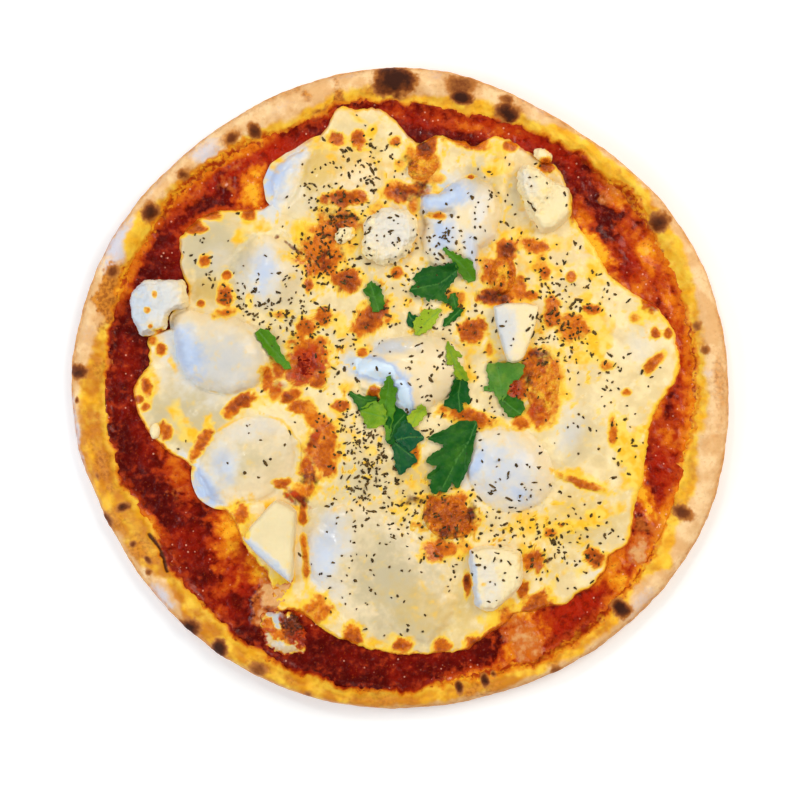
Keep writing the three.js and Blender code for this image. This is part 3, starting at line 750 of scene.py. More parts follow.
cheese = {
    "steps": 285, "seat": 1.2, "roll": 3.4,  # mm into the sauce, and mm in from the edge that is rounded
    "drift": 0.7, "folds": 0.42, "fine": 0.13,  # relief in mm at sizes of 24, 8 and 3 mm
    # where the edge reaches further out: angle, half width in degrees, mm
    "bulges": [
        (168.5, 2.4, 7), (159, 6, 11), (152, 3, 2), (82.5, 3.6, 9), (73, 2.2, -4.5), (107, 2.4, -4.5),
        (102.8, 1.8, 3.5), (114, 4, -3), (306, 5.5, 6), (325.5, 3, 4.5), (240, 3.2, 7), (5, 4, 2.5),
        (175, 3, -2.5), (284, 3, 1.5), (294, 3, 2), (340, 7, 6.5), (16, 5, 4), (36, 6, 4), (228, 5, 4),
        (300, 3, 3),
    ],
    # how toasted and how oily the edge is, by angle
    "edgeToast": [
        (0, 0.5), (12, 0.3), (20, 0.2), (40, 0.2), (60, 0.2), (108, 0.2), (112, 0.05), (127, 0.05),
        (131, 0.6), (150, 0.2), (180, 0.5), (195, 0.6), (201, 0.5), (204, 0.1), (210, 0.1), (214, 0.5),
        (225, 0.6), (240, 0.8), (250, 0.5), (262, 0.5), (280, 0.6), (292, 0.9), (305, 0.8), (325, 0.7),
        (334, 0.2), (346, 0.2),
    ],
    "edgeOil": [
        (0, 0.9), (30, 0.8), (45, 0.8), (60, 0.3), (100, 0.3), (110, 0.2), (114, 0), (125, 0), (130, 0.8),
        (145, 0.3), (165, 0.2), (190, 0.5), (200, 0.9), (204, 0.15), (210, 0.15), (214, 0.9), (222, 1),
        (235, 0.9), (260, 0.4), (280, 0.5), (293, 1), (320, 0.9), (345, 0.9),
    ],
    # low humps and hollows: middle x, y, length, width, turn, height
    "humps": [
        (-116, 33, 12, 12, 0, 2.4), (86, -17, 40, 27, 80, 3.0), (108, 10, 30, 22, 0, 1.2),
        (95, -68, 34, 20, 20, 1.2), (100, 36, 20, 26, 0, 1.0), (50, 105, 9, 44, -6, 2.4),
        (37, 108, 9, 12, 0, -0.9), (28, 122, 24, 8, -8, 1.6), (-23, 96, 22, 9, -12, 2.0),
        (-23, 94, 12, 4, -12, -1.4), (62, 94, 26, 16, 45, 1.0), (-97, 72, 34, 20, 40, 1.6),
        (-102, -17, 34, 18, 20, 1.8), (-122, 3, 20, 30, 0, 1.4), (74, 4, 18, 24, 0, 1.6),
        (66, 15, 12, 10, 0, 1.4), (12, 112, 16, 14, 0, 1.2), (46, 58, 10, 18, 0, 1.4),
        (-48, -28, 16, 42, -10, -1.6), (-48, 16, 20, 26, -15, -1.6), (57, 0, 5, 12, 0, -1.4),
        (78, 60, 26, 20, 0, 1.0), (-20, -40, 44, 34, 20, 1.1), (-75, 96, 18, 20, 0, 1.0),
        (66, -92, 10, 34, 10, 1.2), (-40, 72, 20, 22, 0, 0.9), (-26, 54, 14, 10, 0, 0.9),
        (-15, 35, 18, 12, 35, 0.9), (18, 65, 13, 6, 0, 1.6), (17, 40, 19, 6, 5, 1.4),
        (96, -45, 40, 10, -25, 0.9), (5, 122, 14, 8, 10, 1.0), (-30, 122, 30, 10, 0, 1.4),
        (-86, -66, 16, 30, -10, 0.9), (-42, -110, 22, 22, -30, 1.0), (2, 75, 6, 22, 10, -0.9),
        (8, 98, 22, 9, 0, -1.2),
    ],
    # narrow folds: corners, width, height
    "foldLines": [
        ([(77, -43), (90, -44), (101, -51)], 3.2, 1.1), ([(50, -13), (62, -22), (76, -38)], 2.5, -0.7),
        ([(-105, -36), (-100, -28), (-95, -21)], 5.0, 0.7), ([(-85, -12), (-73, -3)], 6.0, 0.7),
        ([(-68, -4), (-58, 4), (-56, 14)], 4.0, 0.9), ([(-62, 78), (-54, 72), (-45, 64)], 3.6, -0.9),
        ([(119, 5), (131, 17)], 4.0, -0.6), ([(-16, 1), (-12, -6)], 4.0, -0.8),
    ],
    "oil": [
        (118, -43, 11, 30, 20, 1.5), (98, 72, 10, 26, 36, 1.4), (123, 36, 9, 16, 16, 1.1),
        (-84, -82, 9, 22, 40, 1.2), (62, -112, 14, 10, 30, 1.2), (-60, -98, 13, 24, 0, 1.0),
        (-36, -30, 8, 30, 0, 0.6), (-56, -4, 14, 10, -30, 0.7), (-48, -50, 16, 12, 0, 0.7),
        (30, 40, 10, 12, 0, 0.7), (64, 40, 8, 16, 0, 0.6), (52, 46, 24, 8, 0, 0.7), (58, 12, 6, 16, 0, 0.8),
        (86, 6, 8, 20, 0, 0.6), (-16, 42, 14, 8, 30, 0.6), (-45, 75, 12, 10, 0, 0.8),
        (-73, 100, 15, 17, 0, 0.8), (-76, 44, 4, 8, 0, 0.9), (-127, 2, 13, 20, 0, 0.7),
        (-113, -16, 12, 6, 0, 0.5), (-97, -17, 8, 9, 0, 0.8), (-107, -17, 8, 7, 0, 0.7),
        (-73, -8, 18, 9, 35, 0.7), (-35, 122, 24, 12, 0, 0.8), (53, 54, 9, 12, 0, 1), (74, 4, 18, 20, 0, 0.4),
        (55, 78, 13, 9, 0, 0.8), (62, 78, 9, 9, 0, 0.5), (76, 58, 9, 9, 0, 0.7), (93, 45, 8, 8, 0, 0.9),
        (90, 16, 11, 14, 0, 0.6), (110, -20, 10, 20, 10, 1.1), (118, -26, 12, 12, 0, 1.0),
        (122, -40, 9, 20, 10, 1.0), (97, -63, 13, 10, 0, 1.0), (108, -60, 10, 10, 0, 0.7),
        (127, 35, 8, 9, 0, 0.8), (-22, -27, 6, 6, 0, 0.7), (-26, -35, 5, 5, 0, 0.7), (6, -49, 7, 9, 0, 0.7),
        (-30, 30, 7, 6, 0, 0.7), (-25, 21, 6, 6, 0, 0.6), (99, -63, 9, 9, 0, 0.9),
        (-81, -68, 16, 26, -8, 0.9), (-56, -106, 26, 14, -35, 0.8), (-43, -110, 20, 18, -30, 0.9),
        (-20, 112, 46, 24, 0, 0.4), (48, -116, 16, 14, 35, 1), (66, -70, 34, 16, -5, 0.65),
        (34, 8, 7, 13, 0, 0.8), (12, 110, 16, 16, 0, 0.5), (22, 40, 8, 7, 0, 0.8), (20, 66, 16, 9, 0, 0.5),
        (7, -33, 7, 14, 0, 0.8), (35, -14, 32, 10, -12, 0.8), (92, -46, 26, 8, -18, 0.9),
        (85, -5, 14, 10, 0, 0.4), (66, 60, 20, 28, 0, 0.6), (-88, -10, 16, 12, 0, 0.4),
        (-72, -66, 6, 8, 0, 0.6), (4, -58, 16, 14, 0, 0.7), (84, -68, 24, 6, 10, 0.8),
        (78, -84, 12, 6, 0, 0.4), (90, -76, 12, 8, 20, 0.6), (78, 74, 14, 10, -20, 0.7),
        (90, 62, 12, 12, 0, 0.6), (62, 54, 10, 8, 0, 0.7), (84, 44, 10, 8, 0, 0.6), (-26, 2, 12, 8, 0, 0.6),
        (-34, -20, 8, 14, 0, 0.6), (-66, -6, 16, 10, 0, 0.6), (-70, 82, 10, 8, 0, 0.7),
        (2, 42, 10, 8, 0, 0.5), (-8, -22, 8, 8, 0, 0.5), (46, 12, 6, 18, 0, 0.7), (-2, -125, 14, 8, 0, 0.7),
        (21, -126, 14, 10, 0, 0.7), (37, -124, 12, 10, 0, 0.7), (-24, -122, 12, 10, 0, 0.8),
        (-38, 66, 26, 32, 0, 0.5), (66, -64, 20, 6, -20, 0.5), (-90, 90, 24, 12, 30, 0.5),
        (30, 50, 14, 22, 0, 0.5), (76, 100, 30, 24, -45, 0.4), (12, -106, 46, 34, -30, 0.22),
        (40, -126, 26, 8, 20, 0.8), (-12, -128, 40, 6, 0, 0.7), (-84, -68, 14, 26, -8, 1),
    ],
    "toast": [
        (123, 43, 7, 8, 0, 0.7), (117, 36, 6, 6, 0, 0.5), (108, 58, 8, 9, 0, 0.8), (-3, 99, 16, 8, 0, 0.7),
        (6, 92, 6, 14, 0, 0.5), (-38, -32, 12, 26, 0, 0.75), (-38, -18, 12, 8, -30, 0.6),
        (-62, -101, 9, 10, 0, 0.5), (-56, -94, 5, 14, 0, 0.4), (5, 117, 10, 11, 0, 0.5),
        (0, 112, 6, 6, 0, 0.5), (-67, 5, 8, 12, 0, 0.75), (30, -79, 12, 8, 0, 0.45), (-124, 24, 6, 5, 0, 0.6),
        (72, 6, 20, 24, 0, 0.5), (76, -8, 8, 16, 0, 0.5), (-26, 72, 10, 18, 0, 0.35),
        (-34, 78, 16, 8, 0, 0.7), (66, 12, 12, 16, 0, 0.65), (68, -13, 14, 12, 0, 0.72),
        (78, 8, 6, 18, 0, 0.5), (73, 2, 18, 28, 0, 0.42), (12, 110, 14, 14, 0, 0.4),
        (24, -63, 27, 23, -20, 0.8), (20, -80, 20, 12, 0, 0.7), (45, 59, 11, 18, 0, 0.62),
        (55, 58, 4, 14, 0, 0.7), (53, 70, 12, 10, 0, 0.9), (47, 46, 19, 9, 0, 0.9), (12, 120, 9, 7, 0, 1),
        (6, 100, 13, 5, 15, 0.65), (13, 105, 16, 6, 0, 0.5), (17, 113, 6, 10, 0, 0.5), (1, 97, 10, 8, 0, 0.7),
        (-28, 95, 21, 8, 4, 0.9), (-31, 84, 24, 13, 0, 0.6), (-40, 68, 26, 30, 0, 0.6),
        (-38, 62, 8, 7, 0, 0.8), (-42, 74, 7, 5, 0, 0.7), (-27, 54, 16, 11, 0, 1),
        (-15, 36, 20, 13, 30, 0.95), (-47, 15, 21, 21, -30, 0.85), (-53, 7, 14, 12, 0, 0.8),
        (-40, 24, 8, 6, 0, 0.6), (-62, -2, 10, 8, 0, 0.6), (-61, 9, 8, 12, 0, 0.7), (58, 0, 12, 18, 0, 0.8),
        (59, 50, 10, 14, 0, 0.6), (-88, 38, 12, 6, 10, 0.55), (-60, 37, 10, 4, 0, 0.4),
        (-10, 90, 12, 8, 0, 0.4), (-46, 80, 10, 8, 0, 0.4), (-32, 125, 9, 8, 0, 0.8),
        (-22, 125, 7, 10, 0, 0.8), (-3, 124, 7, 6, 0, 0.8), (15, 124, 6, 9, 0, 0.8), (55, 121, 7, 5, 0, 0.8),
        (73, 112, 7, 7, 0, 0.9), (34, 124, 24, 7, -10, 0.75), (36, 29, 13, 12, 20, 0.95),
        (35, -14, 30, 8, -12, 0.75), (7, -33, 6, 12, 0, 0.6), (-39, 36, 8, 9, 0, 0.8),
        (-47, 31, 10, 9, 0, 0.8), (-42, 4, 8, 7, 0, 0.8), (-30, -8, 8, 6, 0, 0.8), (-19, 18, 5, 5, 0, 0.7),
        (-14, -3, 6, 8, -30, 0.8), (-2, 58, 6, 6, 0, 0.7), (-54, -2, 9, 8, 0, 0.65),
        (-49, -9, 12, 9, -30, 0.55), (-43, -16, 16, 9, -35, 0.6), (-40, -24, 15, 12, 0, 0.55),
        (-43, -33, 13, 13, 0, 0.55), (-46, -43, 11, 14, 10, 0.55), (-50, -51, 13, 9, 0, 0.6),
        (-43, -26, 6, 14, -20, 0.8), (-47, -38, 5, 10, 10, 0.75), (-46, 52, 5, 8, 0, 0.8),
        (-96, 88, 11, 7, 0, 0.85), (-104, 81, 13, 7, 0, 0.85), (-76, 87, 8, 6, 0, 0.8),
        (-98, 64, 5, 6, 0, 0.8), (-87, 57, 5, 4, 0, 0.8), (-88, 46, 8, 11, 0, 0.75), (-100, 43, 4, 4, 0, 0.7),
        (-120, 20, 5, 6, 0, 0.8), (-127, 2, 6, 12, 0, 0.8), (-131, -5, 6, 5, 0, 0.8),
        (-128, -9, 5, 5, 0, 0.8), (-117, -21, 7, 9, 0, 0.8), (-100, -28, 17, 6, 58, 0.8),
        (-80, -7, 15, 7, 35, 0.95), (-57, -4, 9, 7, 0, 0.9), (-52, -9, 9, 7, 0, 0.8), (66, 72, 15, 9, 0, 0.7),
        (70, 63, 9, 11, 0, 0.42), (72, 57, 5, 7, 0, 0.8), (85, 56, 5, 5, 0, 0.7), (65, 47, 8, 6, 0, 0.7),
        (75, 38, 9, 15, 0, 0.75), (86, 30, 15, 16, 40, 0.6), (95, 40, 9, 6, 0, 0.75), (60, -17, 9, 7, 0, 0.8),
        (103, 12, 8, 5, 0, 0.5), (126, 13, 15, 6, 45, 0.8), (113, -1.5, 5, 4, 0, 0.7),
        (106, -22, 5, 16, 0, 0.6), (128, 28, 6, 6, 0, 0.8), (133, 28, 5, 5, 0, 0.8),
        (90, -47, 26, 5, -18, 0.7), (66, -86, 10, 12, 0, 0.85), (61, -100, 6, 9, 0, 0.85),
        (97, -85, 10, 10, 0, 0.9), (1, -128, 10, 7, 0, 0.8), (21, -129, 10, 8, 0, 0.8),
        (37, -127, 10, 7, 0, 0.8), (-24, -124, 9, 11, 0, 0.85), (-42, -110, 16, 16, -20, 0.6),
        (-80, -62, 8, 12, 0, 0.7), (75, -72, 8, 7, 0, 0.6), (68, -112, 14, 22, -20, 0.8),
        (53, -114, 12, 12, 0, 0.6), (-49, -63, 4, 14, 0, 0.7), (-48, -84, 4, 26, 4, 0.6),
        (-60, -47, 9, 5, 0, 0.8), (33, -97, 4, 12, 0, 0.85), (86, 92, 4, 16, 0, 0.9), (35, 106, 4, 3, 0, 0.9),
        (18, 86, 8, 3.5, 0, 0.6), (-87, -13, 6, 5, 0, 0.5), (44, 20, 5, 9, 0, 0.5), (28, 45, 12, 10, 0, 0.5),
        (52, 30, 3, 24, 5, 0.35),
    ],
    "scorch": [
        (108, 58, 7, 7, 0, 1.0), (0, 99, 12, 7, 0, 0.7), (-44, -34, 4, 14, 0, 0.5), (4, 113, 9, 10, 0, 0.6),
        (-34, 76, 14, 8, 0, 0.6), (-28, 68, 8, 14, 0, 0.5), (70, 16, 12, 8, 0, 0.8), (64, 5.5, 6, 7, 0, 0.9),
        (14, -64, 8, 14, 0, 0.7), (24, -72, 16, 6, -10, 0.8), (35, -62, 6, 10, 0, 1), (54, 70, 10, 9, 0, 0.8),
        (46, 46, 16, 7, 0, 0.9), (12, 121, 8, 6, 0, 0.9), (10, 102, 14, 5, 0, 0.8), (5, 98, 18, 8, 0, 0.7),
        (-32, 85, 22, 9, 0, 0.7), (-38, 63, 10, 8, 0, 0.65), (-37, 68, 8, 6, 0, 0.8),
        (-27, 52, 13, 6, 0, 0.6), (-16, 33, 15, 6, 32, 0.6), (-54, 22, 10, 14, 0, 0.5),
        (-46, -45, 12, 8, 0, 0.8), (-45, -28, 8, 10, 0, 0.6), (-57, -4, 7, 5, 0, 0.8),
        (-80, -7, 10, 4, 35, 0.6), (36, 29, 8, 7, 0, 0.45), (66, 72, 9, 5, 0, 0.5), (97, -85, 7, 7, 0, 0.7),
        (73, -86, 4, 4, 0, 0.9), (-52, -117, 12, 8, 0, 1), (33, -96, 3, 5, 0, 0.9), (8, -56, 16, 6, -8, 0.7),
        (86, 30, 7, 8, 40, 0.4), (-50, -56, 10, 6, 0, 0.8), (-62, 76, 3, 3, 0, 0.8),
        (-54, 71, 16, 2.4, -36, 0.9), (66, -90, 5, 7, 0, 0.4),
    ],
    "red": [
        (126, 43, 6, 9, 0, 0.8), (-2, 99, 10, 6, 0, 0.5), (-46, -36, 5, 18, 0, 0.5), (-66, 5, 5, 8, 0, 0.6),
        (66, -4, 8, 10, 0, 0.4), (72, 10, 10, 5, 0, 0.3), (58, -1, 7, 13, 0, 0.7), (-61, 8, 6, 10, 0, 0.6),
        (-12, 93, 8, 5, 0, 0.4), (4, 98, 8, 6, 0, 0.5), (-46, 15, 17, 16, -30, 0.9), (-50, 7, 10, 9, 0, 0.8),
        (-56, -3, 6, 5, 0, 0.6), (57, -1, 6, 10, 0, 0.9), (67, -11, 11, 10, 0, 0.55),
        (-42, -22, 5, 12, -35, 0.6), (-56, -54, 8, 3, -42, 0.8), (-45, -36, 7, 10, 0, 0.5),
        (-38, 64, 10, 8, 0, 0.5), (44, 46, 14, 6, 0, 0.6), (-52, -54, 16, 4, -42, 0.9),
        (8, 99, 14, 7, 0, 0.6), (-62, 2, 8, 10, 0, 0.6), (25, -70, 16, 6, 0, 0.5),
    ],
    # whiter, cooler cream
    # whiter cream, with a bluish painted sheen where slopes face the light from the left; strengths above 1
    # add a painted highlight
    "whiteAndSheen": [
        (100, 28, 14, 18, 0, 0.2), (-106, 17, 18, 30, 25, 1.1), (-92, 12, 46, 36, 0, 0.5),
        (19, 97, 28, 18, 6, 1.2), (21, 76, 15, 19, 0, 0.9), (-65, 104, 18, 38, -27, 1.0),
        (-52, 118, 14, 8, 20, 0.7), (-64, 92, 8, 14, 0, 0.7), (-68, 58, 15, 24, 0, 0.75),
        (-79, 58, 9, 22, 0, 0.3), (-88, -38, 15, 20, 0, 0.7), (-100, -49, 12, 28, 34, 1.2),
        (-74, -20, 34, 12, 10, 0.4), (-14, 10, 23, 9.5, -15, 2.2), (1, -5, 7.5, 18, 10, 2.2),
        (-6, 21, 26, 7, 4, 0.6), (50, -40, 40, 30, -38, 0.65), (58, -52, 20, 10, -35, 0.8),
        (38, -36, 8, 24, -20, 0.9), (41, 78, 14, 40, 0, 0.3), (42, 62, 7, 13, 15, 0.2),
        (35, 69, 8, 20, 18, 0.7), (39, 88, 10, 28, -8, 0.45), (-38, -80, 20, 36, -15, 0.72),
        (-36, -98, 24, 14, -38, 0.35), (-85, 18, 24, 26, 0, 0.45), (84, -22, 14, 26, -10, 0.4),
        (96, -88, 20, 12, 20, 0.4), (64, 95, 10, 20, 0, 0.4), (120, 22, 20, 22, 0, 0.3),
        (-92, 66, 20, 14, 0, 0.3), (-118, 6, 10, 24, 0, 0.3),
    ],
    # duller, greyer melt, partly painted shade, mostly over the left side, which falls darker
    "dull": [
        (-4, -96, 56, 40, -30, 1.0), (4, -118, 40, 24, -10, 1.0), (-8, -78, 20, 24, 0, 0.9),
        (-20, -46, 30, 24, 0, 0.7), (-118, -14, 20, 16, 0, 0.9), (-74, -34, 26, 20, 0, 0.8),
        (56, 98, 10, 20, 0, 0.6), (46, -4, 16, 24, 0, 0.4), (-97, 70, 44, 38, 20, 1),
        (-104, -10, 44, 44, 0, 1), (-86, 46, 20, 16, 0, 0.7), (92, -20, 42, 26, 80, 0.5),
        (-60, 52, 30, 40, 0, 0.6), (-72, -34, 44, 34, 10, 0.6), (-12, -80, 50, 60, -20, 0.6),
        (10, -112, 50, 40, -30, 0.6), (96, -70, 34, 26, 20, 0.5), (46, 106, 16, 40, 0, 0.6),
        (37, 107, 10, 14, 0, 0.7), (-22, 128, 30, 18, 0, 0.5), (-30, -62, 40, 20, -20, 0.5),
        (20, 8, 30, 40, 0, 0.2), (116, 20, 24, 20, 0, 0.35), (-46, 112, 20, 26, 0, 0.3),
        (70, 40, 20, 20, 0, 0.3), (-20, 66, 20, 30, 0, 0.35),
    ],
    # yellower, straw-coloured melt
    "straw": [
        (118, -43, 11, 30, 20, 0.8), (-84, -82, 9, 20, 40, 0.9), (10, -46, 30, 22, 0, 0.8),
        (-92, 49, 24, 12, 0, 1.0), (6, 117, 14, 10, 0, 0.6), (16, -112, 50, 30, -30, 0.6),
        (-40, 110, 26, 26, 0, 1.0), (-22, 116, 26, 20, 0, 0.8), (86, -66, 40, 24, 10, 0.8),
        (80, -84, 30, 16, 20, 0.5), (48, 104, 12, 44, -6, 0.6), (-44, -104, 20, 16, -30, 0.7),
        (30, -108, 14, 20, 0, 0.6), (104, -66, 24, 16, 0, 0.5), (-100, -22, 30, 12, 10, 0.5),
        (-84, 90, 24, 14, 30, 0.5), (60, 78, 24, 14, -40, 0.4), (-118, -2, 12, 30, 0, 0.4),
        (96, 50, 24, 14, -30, 0.4),
    ],
    # thin and greyish, as a soft shadow
    "shade": [
        (10, -46, 30, 20, 0, 0.4), (-92, 49, 24, 12, 0, 0.5), (-80, 60, 12, 28, 0, 0.9),
        (-84, -82, 9, 20, 40, 0.5), (-116, -14, 20, 16, 0, 0.4), (118, -43, 8, 26, 20, 0.35),
        (-8, 60, 40, 30, 0, 0.3), (-28, 30, 50, 50, 0, 0.3), (-4, -34, 50, 40, 0, 0.3),
        (36, 40, 40, 50, 0, 0.25), (-30, 84, 40, 40, 0, 0.25), (-80, 59, 10, 26, 0, 0.9),
        (-92, 18, 36, 28, 0, 0.55), (-78, 1, 24, 8, 20, 0.4), (-92, -40, 18, 20, 0, 0.5),
        (-62, -26, 26, 9, -40, 0.35), (-4, -92, 44, 30, -30, 0.4), (-32, -68, 26, 20, 0, 0.4),
        (-6, 21, 26, 8, 4, 0.6), (-14, -3, 6, 16, 20, 0.5), (14, 86, 20, 4, 14, 0.5),
        (88, -24, 12, 30, -10, 0.45), (37, 107, 8, 14, 0, 0.8), (-97, 70, 32, 24, 30, 0.4),
        (-104, -12, 28, 22, 0, 0.4), (56, 92, 6, 24, -10, 0.5), (-54, 88, 5, 26, -10, 0.35),
        (-22, -42, 30, 24, 0, 0.3), (46, -12, 14, 10, 0, 0.35), (74, 98, 30, 20, -45, 0.3),
        (-49, 53, 5, 20, 10, 0.4),
    ],
    # where the skin dries into small toasted freckles
    "freckled": [
        (-20, -40, 60, 40, 20, 0.8), (5, 50, 60, 60, 0, 0.8), (-40, 75, 50, 70, 0, 0.8),
        (75, 20, 60, 80, 0, 0.7), (70, -75, 60, 40, 0, 0.9), (20, -60, 60, 50, 0, 0.9),
        (-45, 10, 60, 70, 0, 0.8), (0, 110, 100, 40, 0, 0.6), (60, 90, 60, 50, 0, 0.5),
    ],
}

# Each dollop: how much of its packed height it keeps and how steep its edge is. Lobes are x, y, length,
# width, turn and height, and creases are corners, width and depth, both from the middle of its node.
dollops = {
    "mascarpone_1": {
        "footOilAndShade": 0.4, "bulge": (140, 28, -3), "fade": (0.7, 1.1), "keep": 0.6, "steep": 1.7,
        "lobes": [(0.5, -1.5, 32, 26, 0, 3.0), (-22, 2, 9, 30, -28, 2.0), (-13, 13, 14, 8, 25, 1.6)],
        "creases": [([(-22, -14), (-15, -7), (-10, 3), (-8, 12)], 4.0, 1.6)],
    },
    "mascarpone_2": {
        "footOilAndShade": 0.3, "fade": (0.5, 1.0), "keep": 0.6, "steep": 1.9,
        "lobes": [(-1, 1.5, 26, 32, 0, 3.4)],
        "creases": [([(2.5, 20.5), (9, 15), (18.5, 8.5)], 3.5, 1.4)],
    },
    "mascarpone_3": {
        "footOilAndShade": 0.5, "bulge": (139, 16, 5.5), "fade": (1.02, 1.14), "keep": 0.9, "steep": 0.65,
        "lobes": [(-14, 8, 20, 22, 20, 1.2), (6, 4, 30, 24, 0, 0.8)],
        "creases": [([(10, 17), (18, 8), (22, -4)], 4.0, 0.8)],
    },
    "mascarpone_4": {
        "footOilAndShade": 0.7, "quiet": (215, 50), "round": 55, "fade": (0.9, 1.12), "keep": 0.75, "steep": 1.4,
        "lobes": [(2, -1, 30, 22, 10, 2.6), (-16, -9, 16, 18, 0, 1.0)],
        "creases": [([(-10, 8), (-12, 0), (-8, -10)], 5.0, 0.6)],
    },
    "mascarpone_5": {
        "round": 5, "footOilAndShade": 0.55, "quiet": (-60, 40), "fade": (0.96, 1.02), "keep": 0.9, "steep": 0.5,
        "lobes": [(-10, 17, 30, 16, 5, 1.6), (-8, -6, 18, 18, 0, 1.2), (8, -4, 14, 40, 0, 2.0)],
        "creases": [([(-20, 7), (-12, 5.5), (-5, 7)], 3.4, 3.4), ([(-5, 7), (4, 12)], 5.0, 1.0)],
    },
    "mascarpone_6": {
        "footOilAndShade": 0.5, "fade": (0.94, 1.03), "keep": 0.75, "steep": 0.7,
        "lobes": [(-12, 2.5, 28, 9, -12, 2.0), (-1, -12, 9, 22, 10, 1.8), (10, 4, 30, 30, 0, 2.2)],
        "creases": [
            ([(-26, -5), (-15, -4), (-9, -9), (-7, -16)], 6.0, 2.6),
            ([(-22, 9), (-8, 12), (2, 11)], 5.0, 1.2),
        ],
    },
    "mascarpone_7": {
        "footOilAndShade": 0.5, "quiet": (-20, 50), "round": 25, "fade": (0.94, 1.03), "keep": 0.85, "steep": 1.1,
        "lobes": [(-1, 0, 26, 22, -40, 1.0)],
        "creases": [],
    },
    "mascarpone_8": {
        "footOilAndShade": 0.3, "fade": (0.6, 1.1), "keep": 0.6, "steep": 1.6,
        "lobes": [(-20, 10, 34, 40, -20, 2.4), (24, -22, 26, 44, 35, 2.2)],
        "creases": [([(-30, 26), (-8, 14), (0, -10), (6, -36)], 12.0, 1.4)],
    },
}
curds = {f"browned_curd_{i}": {"keep": keep, "steep": 0.6, "lobes": [], "creases": [], "crinkle": 1.6}
         for i, keep in enumerate((0.8, 0.8, 0.7, 0.9), 1)}
lumps = {**dollops, **curds}
lumpLimit = 62  # mm from its middle to where a lump no longer counts
lumpOverlap = 1.07  # how far a lump's own disc runs on into the sheet
lumpSeat = 1.6  # mm from the top of the sheet down to the underside of a lump
for lumpName, lump in lumps.items():
    lump["middle"] = middleOf(lumpName)
    lump["reach"] = reachOf(lumpName, lump["middle"], lump.get("round", 13))
    lump["height"] = (topOf(lumpName) - topOf("mozzarella")) * lump["keep"]


def swellAt(angle, turn, wide, rise):
    # a soft swelling round an outline; turn and wide are in degrees
    away = (np.degrees(angle) - turn + 180) % 360 - 180
    return rise * np.exp(-(away / wide) ** 2)


def lumpReach(lump, angle):
    return lump["reach"](angle) + swellAt(angle, *lump.get("bulge", (0, 1, 0)))


def nearLump(x, y, lump):
    return np.flatnonzero(np.hypot(x - lump["middle"][0], y - lump["middle"][1]) < lumpLimit)


def outShare(x, y, lump):
    # how far out a point is in a lump: 0 in the middle and 1 at its edge
    dx, dy = x - lump["middle"][0], y - lump["middle"][1]
    ragged = 1 + 0.035 * cloudy(7, 51, x, y)
    return np.hypot(dx, dy) / lumpReach(lump, np.arctan2(dy, dx)) * ragged


def bumpAt(x, y, length, width, turn):
    c, s = math.cos(math.radians(turn)), math.sin(math.radians(turn))
    away = np.hypot((x * c + y * s) / length, (y * c - x * s) / width) * 2
    return np.clip(1 - (away / 1.25) ** 2, 0, 1) ** 1.6


def lumpRise(x, y, lump):
    share = outShare(x, y, lump)
    inside = np.clip(1 - share ** 2.6, 0, 1)
    rise = lump["height"] * inside ** lump["steep"]
    dx, dy = x - lump["middle"][0], y - lump["middle"][1]
    form = np.zeros(len(x))
    for lobeX, lobeY, length, width, turn, height in lump["lobes"]:
        form += height * bumpAt(dx - lobeX, dy - lobeY, length, width, turn)
    for corners, width, depth in lump["creases"]:
        form -= depth * np.exp(-(awayFromLine(dx, dy, corners) / (width / 2)) ** 2)
    if "crinkle" in lump:
        form += lump["crinkle"] * (cloudy(3.4, 52, x, y) + 0.6 * np.abs(noise(1.7, 53, x, y)))
    return rise + form * smooth(0, 0.35, inside)


def footOilAndShadeAt(x, y):
    # the foot of each dollop, as a broken line about 2 mm wide: oil gathers there, and a darker, browner ring
    # is painted as shade
    footOilAndShade = np.zeros(len(x))
    for name in dollops:
        lump = lumps[name]
        near = nearLump(x, y, lump)
        away = (outShare(x[near], y[near], lump) - 1.02) * 22
        angle = np.arctan2(y[near] - lump["middle"][1], x[near] - lump["middle"][0])
        strength = lump["footOilAndShade"] * (1 - swellAt(angle, *lump.get("quiet", (0, 0.1)), 1))
        footOilAndShade[near] = np.maximum(footOilAndShade[near], strength * np.exp(-(away / 1.3) ** 2))
    return footOilAndShade * np.clip(0.75 + 0.7 * cloudy(9, 83, x, y), 0, 1)


def skinHeight(x, y):
    height = (topOf("mozzarella") - 0.4 + cheese["drift"] * cloudy(24, 61, x, y, layers=2)
              + cheese["folds"] * cloudy(8, 62, x, y, layers=2) + cheese["fine"] * cloudy(3, 63, x, y))
    for midX, midY, length, width, turn, rise in cheese["humps"]:
        height += rise * bumpAt(x - midX, y - midY, length, width, turn)
    for corners, width, rise in cheese["foldLines"]:
        height += rise * np.exp(-(awayFromLine(x, y, corners) / (width / 2)) ** 2)
    toasted = marksAt(x, y, cheese["toast"], seed=71)
    height += toasted * (0.35 * cloudy(4, 64, x, y) + 0.3 * cloudy(1.6, 65, x, y, layers=2) + 0.1)
    inward = np.clip((cheeseEdge(x, y) - np.hypot(x, y)) / cheese["roll"], 0, 1)
    low = topOf("tomato_sauce") - 1.3
    height = low + (height - low) * np.sqrt(1 - (1 - inward) ** 2)
    for lump in lumps.values():
        near = nearLump(x, y, lump)
        rise = lumpRise(x[near], y[near], lump)
        raised = height[near] * 0.35 + (topOf("mozzarella") - 0.2) * 0.65 + rise
        blend = smooth(0, 0.9, rise)
        height[near] += blend * np.maximum(raised - height[near], 0)
    return height - 0.7 * footOilAndShadeAt(x, y)


def cheeseEdge(x, y):
    angle = np.arctan2(y, x)
    edgeX, edgeY = 120 * np.cos(angle), 120 * np.sin(angle)
    edge = cheeseReach(angle) + 1.1 * cloudy(8, 66, edgeX, edgeY) + 0.6 * cloudy(2.6, 67, edgeX, edgeY)
    for bulge in cheese["bulges"]:
        edge = edge + swellAt(angle, *bulge)
    return edge


